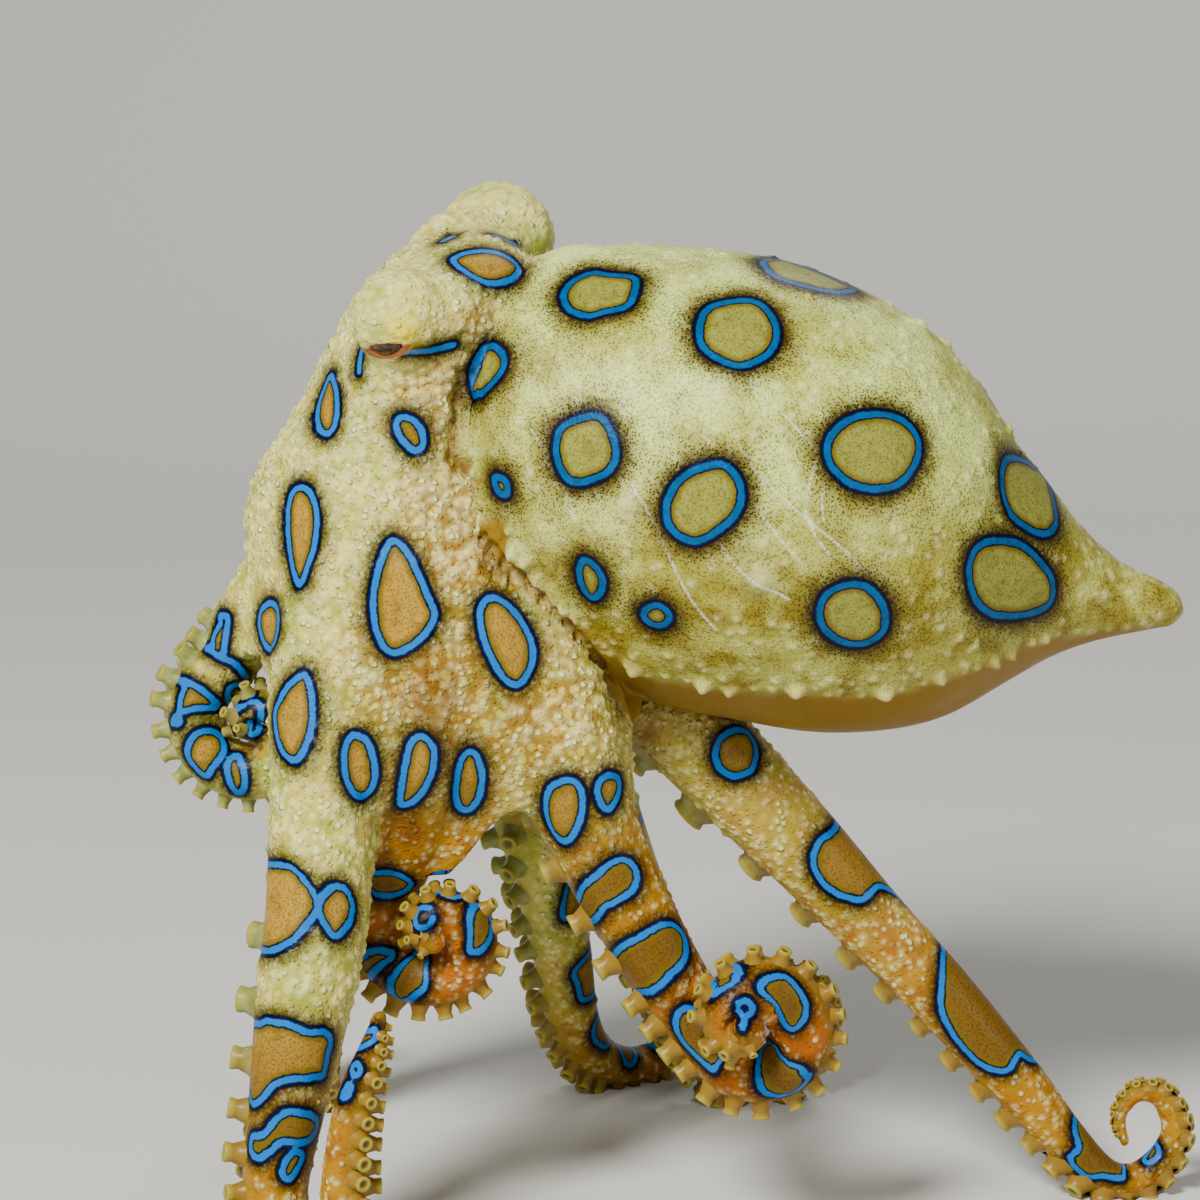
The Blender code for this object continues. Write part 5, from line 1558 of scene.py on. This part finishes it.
def makeSuckers(name):
    arm = arms[name]
    points, faces, oranges = [], [], []
    s, side = suckerPlan["start"], 1
    broad = suckerPlan["broad"].get(name, (1.0, 1.0, 1.0))
    coilStart = suckerPlan["noCoil"]
    if "curl" in armPlans[name]:
        lastPlace = np.array(armPlans[name]["route"][-1][0])
        coilStart = arm["s"][np.argmin(np.linalg.norm(arm["centre"] - lastPlace, axis=1))]
    while s < arm["length"] - suckerPlan["end"]:
        radius = float(np.interp(s, arm["s"], arm["radius"]))
        size, pitch, tall = (np.interp(radius, suckerPlan["radii"], suckerPlan[key])
                             for key in ("size", "pitch", "tall"))
        inCoil = float(fade(s, *(coilStart + np.array(suckerPlan["inCoil"]))))
        size *= radius * broad[0] * (1 - suckerPlan["coilLoss"] * inCoil)
        tall *= broad[1]
        pitch = suckerPlan["coilPitch"] if s > coilStart else pitch * broad[2]
        turn = math.pi + side * math.radians(suckerPlan["turn"])
        base = armPoint(arm, s, np.array(turn))
        i = int(round(s / arm["length"] * (len(arm["s"]) - 1)))
        out = unit(-arm["oral"][i] * math.cos(turn) + arm["across"][i] * math.sin(turn))
        ahead = unit(arm["way"][i] - out * (arm["way"][i] @ out))
        aside = np.cross(out, ahead)
        size *= chance.uniform(*suckerPlan["uneven"])
        spread = cupPoints[:, :1] * ahead + cupPoints[:, 1:2] * aside + cupPoints[:, 2:] * tall * out
        placed = base + spread * size
        placed[:, 2] = np.maximum(placed[:, 2], 0.0)
        # None stands where another arm lies against this one
        other, gap = nearestArm((base + out * size * 0.6)[None])
        if gap[0] > -suckerPlan["overlap"] * size or int(lineRows[other[0], 0]) == armOrder.index(name):
            faces += [tuple(v + len(points) * len(cupPoints) for v in face) for face in cupFaces]
            points.append(placed)
            oranges += [float(fade(s / arm["length"], *arm["orange"]))] * len(cupPoints)
        # Closer steps where the suckers' side is the outer side of a bend
        nextBase = armPoint(arm, min(s + suckerPlan["probe"], arm["length"]), np.array(turn))
        stretch = np.linalg.norm(nextBase - base) / suckerPlan["probe"]
        s += radius * pitch / 2 / min(max(stretch, suckerPlan["stretch"][0]), suckerPlan["stretch"][1])
        side = -side
    mesh = bpy.data.meshes.new("suckers_" + name)
    mesh.from_pydata(np.vstack(points).tolist(), [], faces)
    piece = bpy.data.objects.new("suckers_" + name, mesh)
    bpy.context.scene.collection.objects.link(piece)
    addAttribute(piece, "rim", np.tile(rimShare, len(points)))
    addAttribute(piece, "dish", np.tile(dishShare, len(points)))
    addAttribute(piece, "orange", oranges)
    mesh.materials.append(suckerMaterial)
    mesh.shade_smooth()
    inMetres(piece)
    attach(piece, "root")
    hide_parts(*[n for n in nodes if n.startswith("arm_" + name)])
    return len(points)


suckerCount = sum(makeSuckers(name) for name in armOrder)
bpy.data.objects.remove(cup)
print("suckers:", suckerCount)


# Eyes: a moist ball with a brown iris and a level slit for a pupil

eyePlan = {"iris": 1.05, "irisEdge": 0.12, "pupil": (0.62, 0.16), "pupilEdge": (1.15, 0.9), "fleck": 0.25}
# Octopus eye: dark and wet, so it keeps one small sharp highlight; its brown flecks are 0.25 mm wide
eyeMaterial, tree, shader = newMaterial(
    "wet octopus eye", 0.15, Coat_Weight=0.3, Coat_Roughness=0.05, IOR=1.38)
reads = {name: addNode(tree, "Attribute", attribute_name=name).outputs["Fac"] for name in ("pupil", "iris")}
where = addNode(tree, "TexCoord").outputs["Object"]
fleckScale = 1000 / eyePlan["fleck"]
fleck = addNode(tree, "TexNoise", {"Vector": where, "Scale": fleckScale, "Detail": 3.0}).outputs[0]
flecked = addNode(tree, "MapRange", {0: fleck, 1: 0.45, 2: 0.65}).outputs[0]
irisFlecks = addNode(tree, "Math", {0: reads["iris"], 1: flecked}, operation="MULTIPLY").outputs[0]
eyeColour = colour("#1a0804")
for share, code in ((reads["iris"], "#301208"), (irisFlecks, "#643612"), (reads["pupil"], "#050303")):
    eyeColour = addNode(tree, "Mix", {0: share, 6: eyeColour, 7: colour(code)}, data_type="RGBA").outputs[2]
tree.links.new(eyeColour, shader.inputs["Base Color"])
for side in ("left", "right"):
    gaze, level, upright = eyeAxes(eyes[side])
    bpy.ops.object.select_all(action="DESELECT")
    bpy.ops.mesh.primitive_uv_sphere_add(segments=96, ring_count=64, radius=eyes["ball"], location=(0, 0, 0))
    ball = bpy.context.object
    ball.name = ball.data.name = "eyeball_" + side
    local = placesOf(ball)
    turned = local[:, :1] * level + local[:, 1:2] * upright + local[:, 2:] * gaze
    setPlaces(ball, turned + eyeCentre(eyes[side]))
    ahead = local[:, 2] > 0
    away = np.hypot(local[:, 0], local[:, 1])
    irisEdge = eyePlan["iris"] - eyePlan["irisEdge"]
    addAttribute(ball, "iris", fade(away, eyePlan["iris"], irisEdge) * ahead)
    slit = np.hypot(local[:, 0] / eyePlan["pupil"][0], local[:, 1] / eyePlan["pupil"][1])
    addAttribute(ball, "pupil", fade(slit, *eyePlan["pupilEdge"]) * ahead)
    ball.data.materials.append(eyeMaterial)
    ball.data.shade_smooth()
    inMetres(ball)
    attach(ball, "root")
    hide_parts(*[n for n in nodes if n == "eye_" + side])
print("eyes made")


# Mouth: lips with a frilled edge round the two dark halves of the beak

mouthPlan = {
    "middle": (-11.3, 2.0), "sides": 64, "frills": 16, "frill": 0.16, "frillAt": 38.9, "frillRun": 1.1,
    "wave": 0.12, "lipStart": 43.3, "lipEnd": 40.8,
    "lip": (  # width and height, from the skin over the edge to the inside
        (2.9, 43.1), (3.0, 42.0), (2.85, 40.6), (2.5, 39.5), (2.05, 38.85), (1.65, 38.8), (1.3, 39.3),
        (1.1, 40.2),
    ),
    "beak": ((1.0, 42.2), (1.0, 41.0), (0.85, 40.2), (0.55, 39.55), (0.25, 39.15)), "beakStart": 42.4,
    "beakTip": 38.95, "beakLap": 0.15, "beakFlat": 0.45, "beakApart": 0.42, "hook": 0.0875, "hookStart": 41.0,
}
# Lip skin: light goes a little way in, so it looks soft beside the hard beak; its patches are 0.7 mm wide
lipMaterial, tree, shader = newMaterial(
    "soft lip skin", 0.4, Subsurface_Weight=0.15, Subsurface_Scale=0.0006,
    Subsurface_Radius=(1.0, 0.6, 0.4), Coat_Weight=0.1, Coat_Roughness=0.2)
cloud, paint = patchyColour(tree, 0.7, 3.0, (0.4, 0.65, 1.0), ("#b98a5e", "#d9b48c"))
tree.links.new(paint, shader.inputs["Base Color"])
bump = addNode(tree, "Bump", {"Strength": 0.4, "Distance": 0.0001, "Height": cloud})
tree.links.new(bump.outputs[0], shader.inputs["Normal"])
# Dark chitin: hard and glossy, so a clear glint tells it from the flesh; its patches are 0.5 mm wide
beakMaterial, tree, shader = newMaterial("dark chitin", 0.22, Coat_Weight=0.3, Coat_Roughness=0.1, IOR=1.55)
cloud, paint = patchyColour(tree, 0.5, 2.0, (0.45, 0.7, 1.0), ("#1c0d06", "#4a2610"))
tree.links.new(paint, shader.inputs["Base Color"])

around = 2 * math.pi * np.arange(mouthPlan["sides"]) / mouthPlan["sides"]
circle = np.stack([np.cos(around), np.sin(around), np.zeros(len(around))], axis=1)
frill = np.cos(around * mouthPlan["frills"])


def mouthAt(high, aside=0.0):
    return np.array((mouthPlan["middle"][0], mouthPlan["middle"][1] + aside, high))


lipRings = []
for wide, high in mouthPlan["lip"]:
    share = max(0.0, 1 - abs(high - mouthPlan["frillAt"]) / mouthPlan["frillRun"])
    ring = mouthAt(high) + circle * wide * (1 + share * mouthPlan["frill"] * frill)[:, None]
    ring[:, 2] -= share * mouthPlan["wave"] * (frill - 1)
    lipRings.append(ring)
lips = drawOut("lips", np.array(lipRings), mouthAt(mouthPlan["lipStart"]), mouthAt(mouthPlan["lipEnd"]))
finishWith(lips, "SUBSURF", levels=1, render_levels=1)
mouthParts = [(lips, lipMaterial)]
for name, side in (("beak_upper", 1), ("beak_lower", -1)):
    beakRings = []
    for wide, high in mouthPlan["beak"]:
        bend = mouthPlan["hook"] * max(mouthPlan["hookStart"] - high, 0.0)
        ring = circle[::4] * np.array((wide, wide * mouthPlan["beakFlat"], 1.0))
        beakRings.append(mouthAt(high, side * (wide * mouthPlan["beakApart"] - bend)) + ring)
    tip = mouthAt(mouthPlan["beakTip"] + (mouthPlan["beakLap"] if side < 0 else 0.0), side * 0.02)
    beak = drawOut(name, np.array(beakRings), mouthAt(mouthPlan["beakStart"], side * 0.4), tip)
    finishWith(beak, "SUBSURF", levels=1, render_levels=1)
    mouthParts.append((beak, beakMaterial))
for piece, material in mouthParts:
    piece.data.materials.append(material)
    piece.data.shade_smooth()
    inMetres(piece)
    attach(piece, "root")
    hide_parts("mouth")
print("mouth made")


# Floor and light

# In metres: the floor bends up behind the model
floorPlan = {"size": 3.0, "rows": 160, "colour": "#dddad3", "curveStart": 0.28, "curve": 0.35}
bpy.ops.object.select_all(action="DESELECT")
bpy.ops.mesh.primitive_grid_add(x_subdivisions=2, y_subdivisions=floorPlan["rows"], size=floorPlan["size"],
                                location=(0, 0, 0))
floor = bpy.context.object
floor.name = "floor"
sheet = placesOf(floor)
sheet[:, 2] = np.maximum(sheet[:, 1] - floorPlan["curveStart"], 0) ** 2 / floorPlan["curve"]
setPlaces(floor, sheet)
floor.data.shade_smooth()
# Matt white paint: soft shadows and no glints, so that the eye stays on the animal
floorMaterial, tree, shader = newMaterial("matt white paint", 0.8)
shader.inputs["Base Color"].default_value = colour(floorPlan["colour"])
floor.data.materials.append(floorMaterial)

lamps = {  # place from the model's middle and width, both in metres, and watts
    "key": ((-0.20, -0.36, 0.34), 0.15, 4.6),
    "fill": ((0.42, -0.30, 0.16), 0.30, 0.6),
    "back": ((0.18, 0.36, 0.40), 0.22, 0.6),
}
studio = {"Color": colour("#dfe3e6"), "Strength": 0.19}
middle = Vector((np.array(cadBox[0]) + np.array(cadBox[1])) / 2)
for name, (place, size, power) in lamps.items():
    lampData = bpy.data.lights.new(name, "AREA")
    lampData.shape, lampData.size, lampData.energy = "DISK", size, power
    lamp = bpy.data.objects.new(name, lampData)
    lamp.location = middle + Vector(place)
    lamp.rotation_euler = (-Vector(place)).to_track_quat("-Z", "Y").to_euler()
    bpy.context.scene.collection.objects.link(lamp)
world = bpy.data.worlds.new("studio")
world.use_nodes = True
for key, value in studio.items():
    world.node_tree.nodes["Background"].inputs[key].default_value = value
bpy.context.scene.world = world
print("floor and lights set")
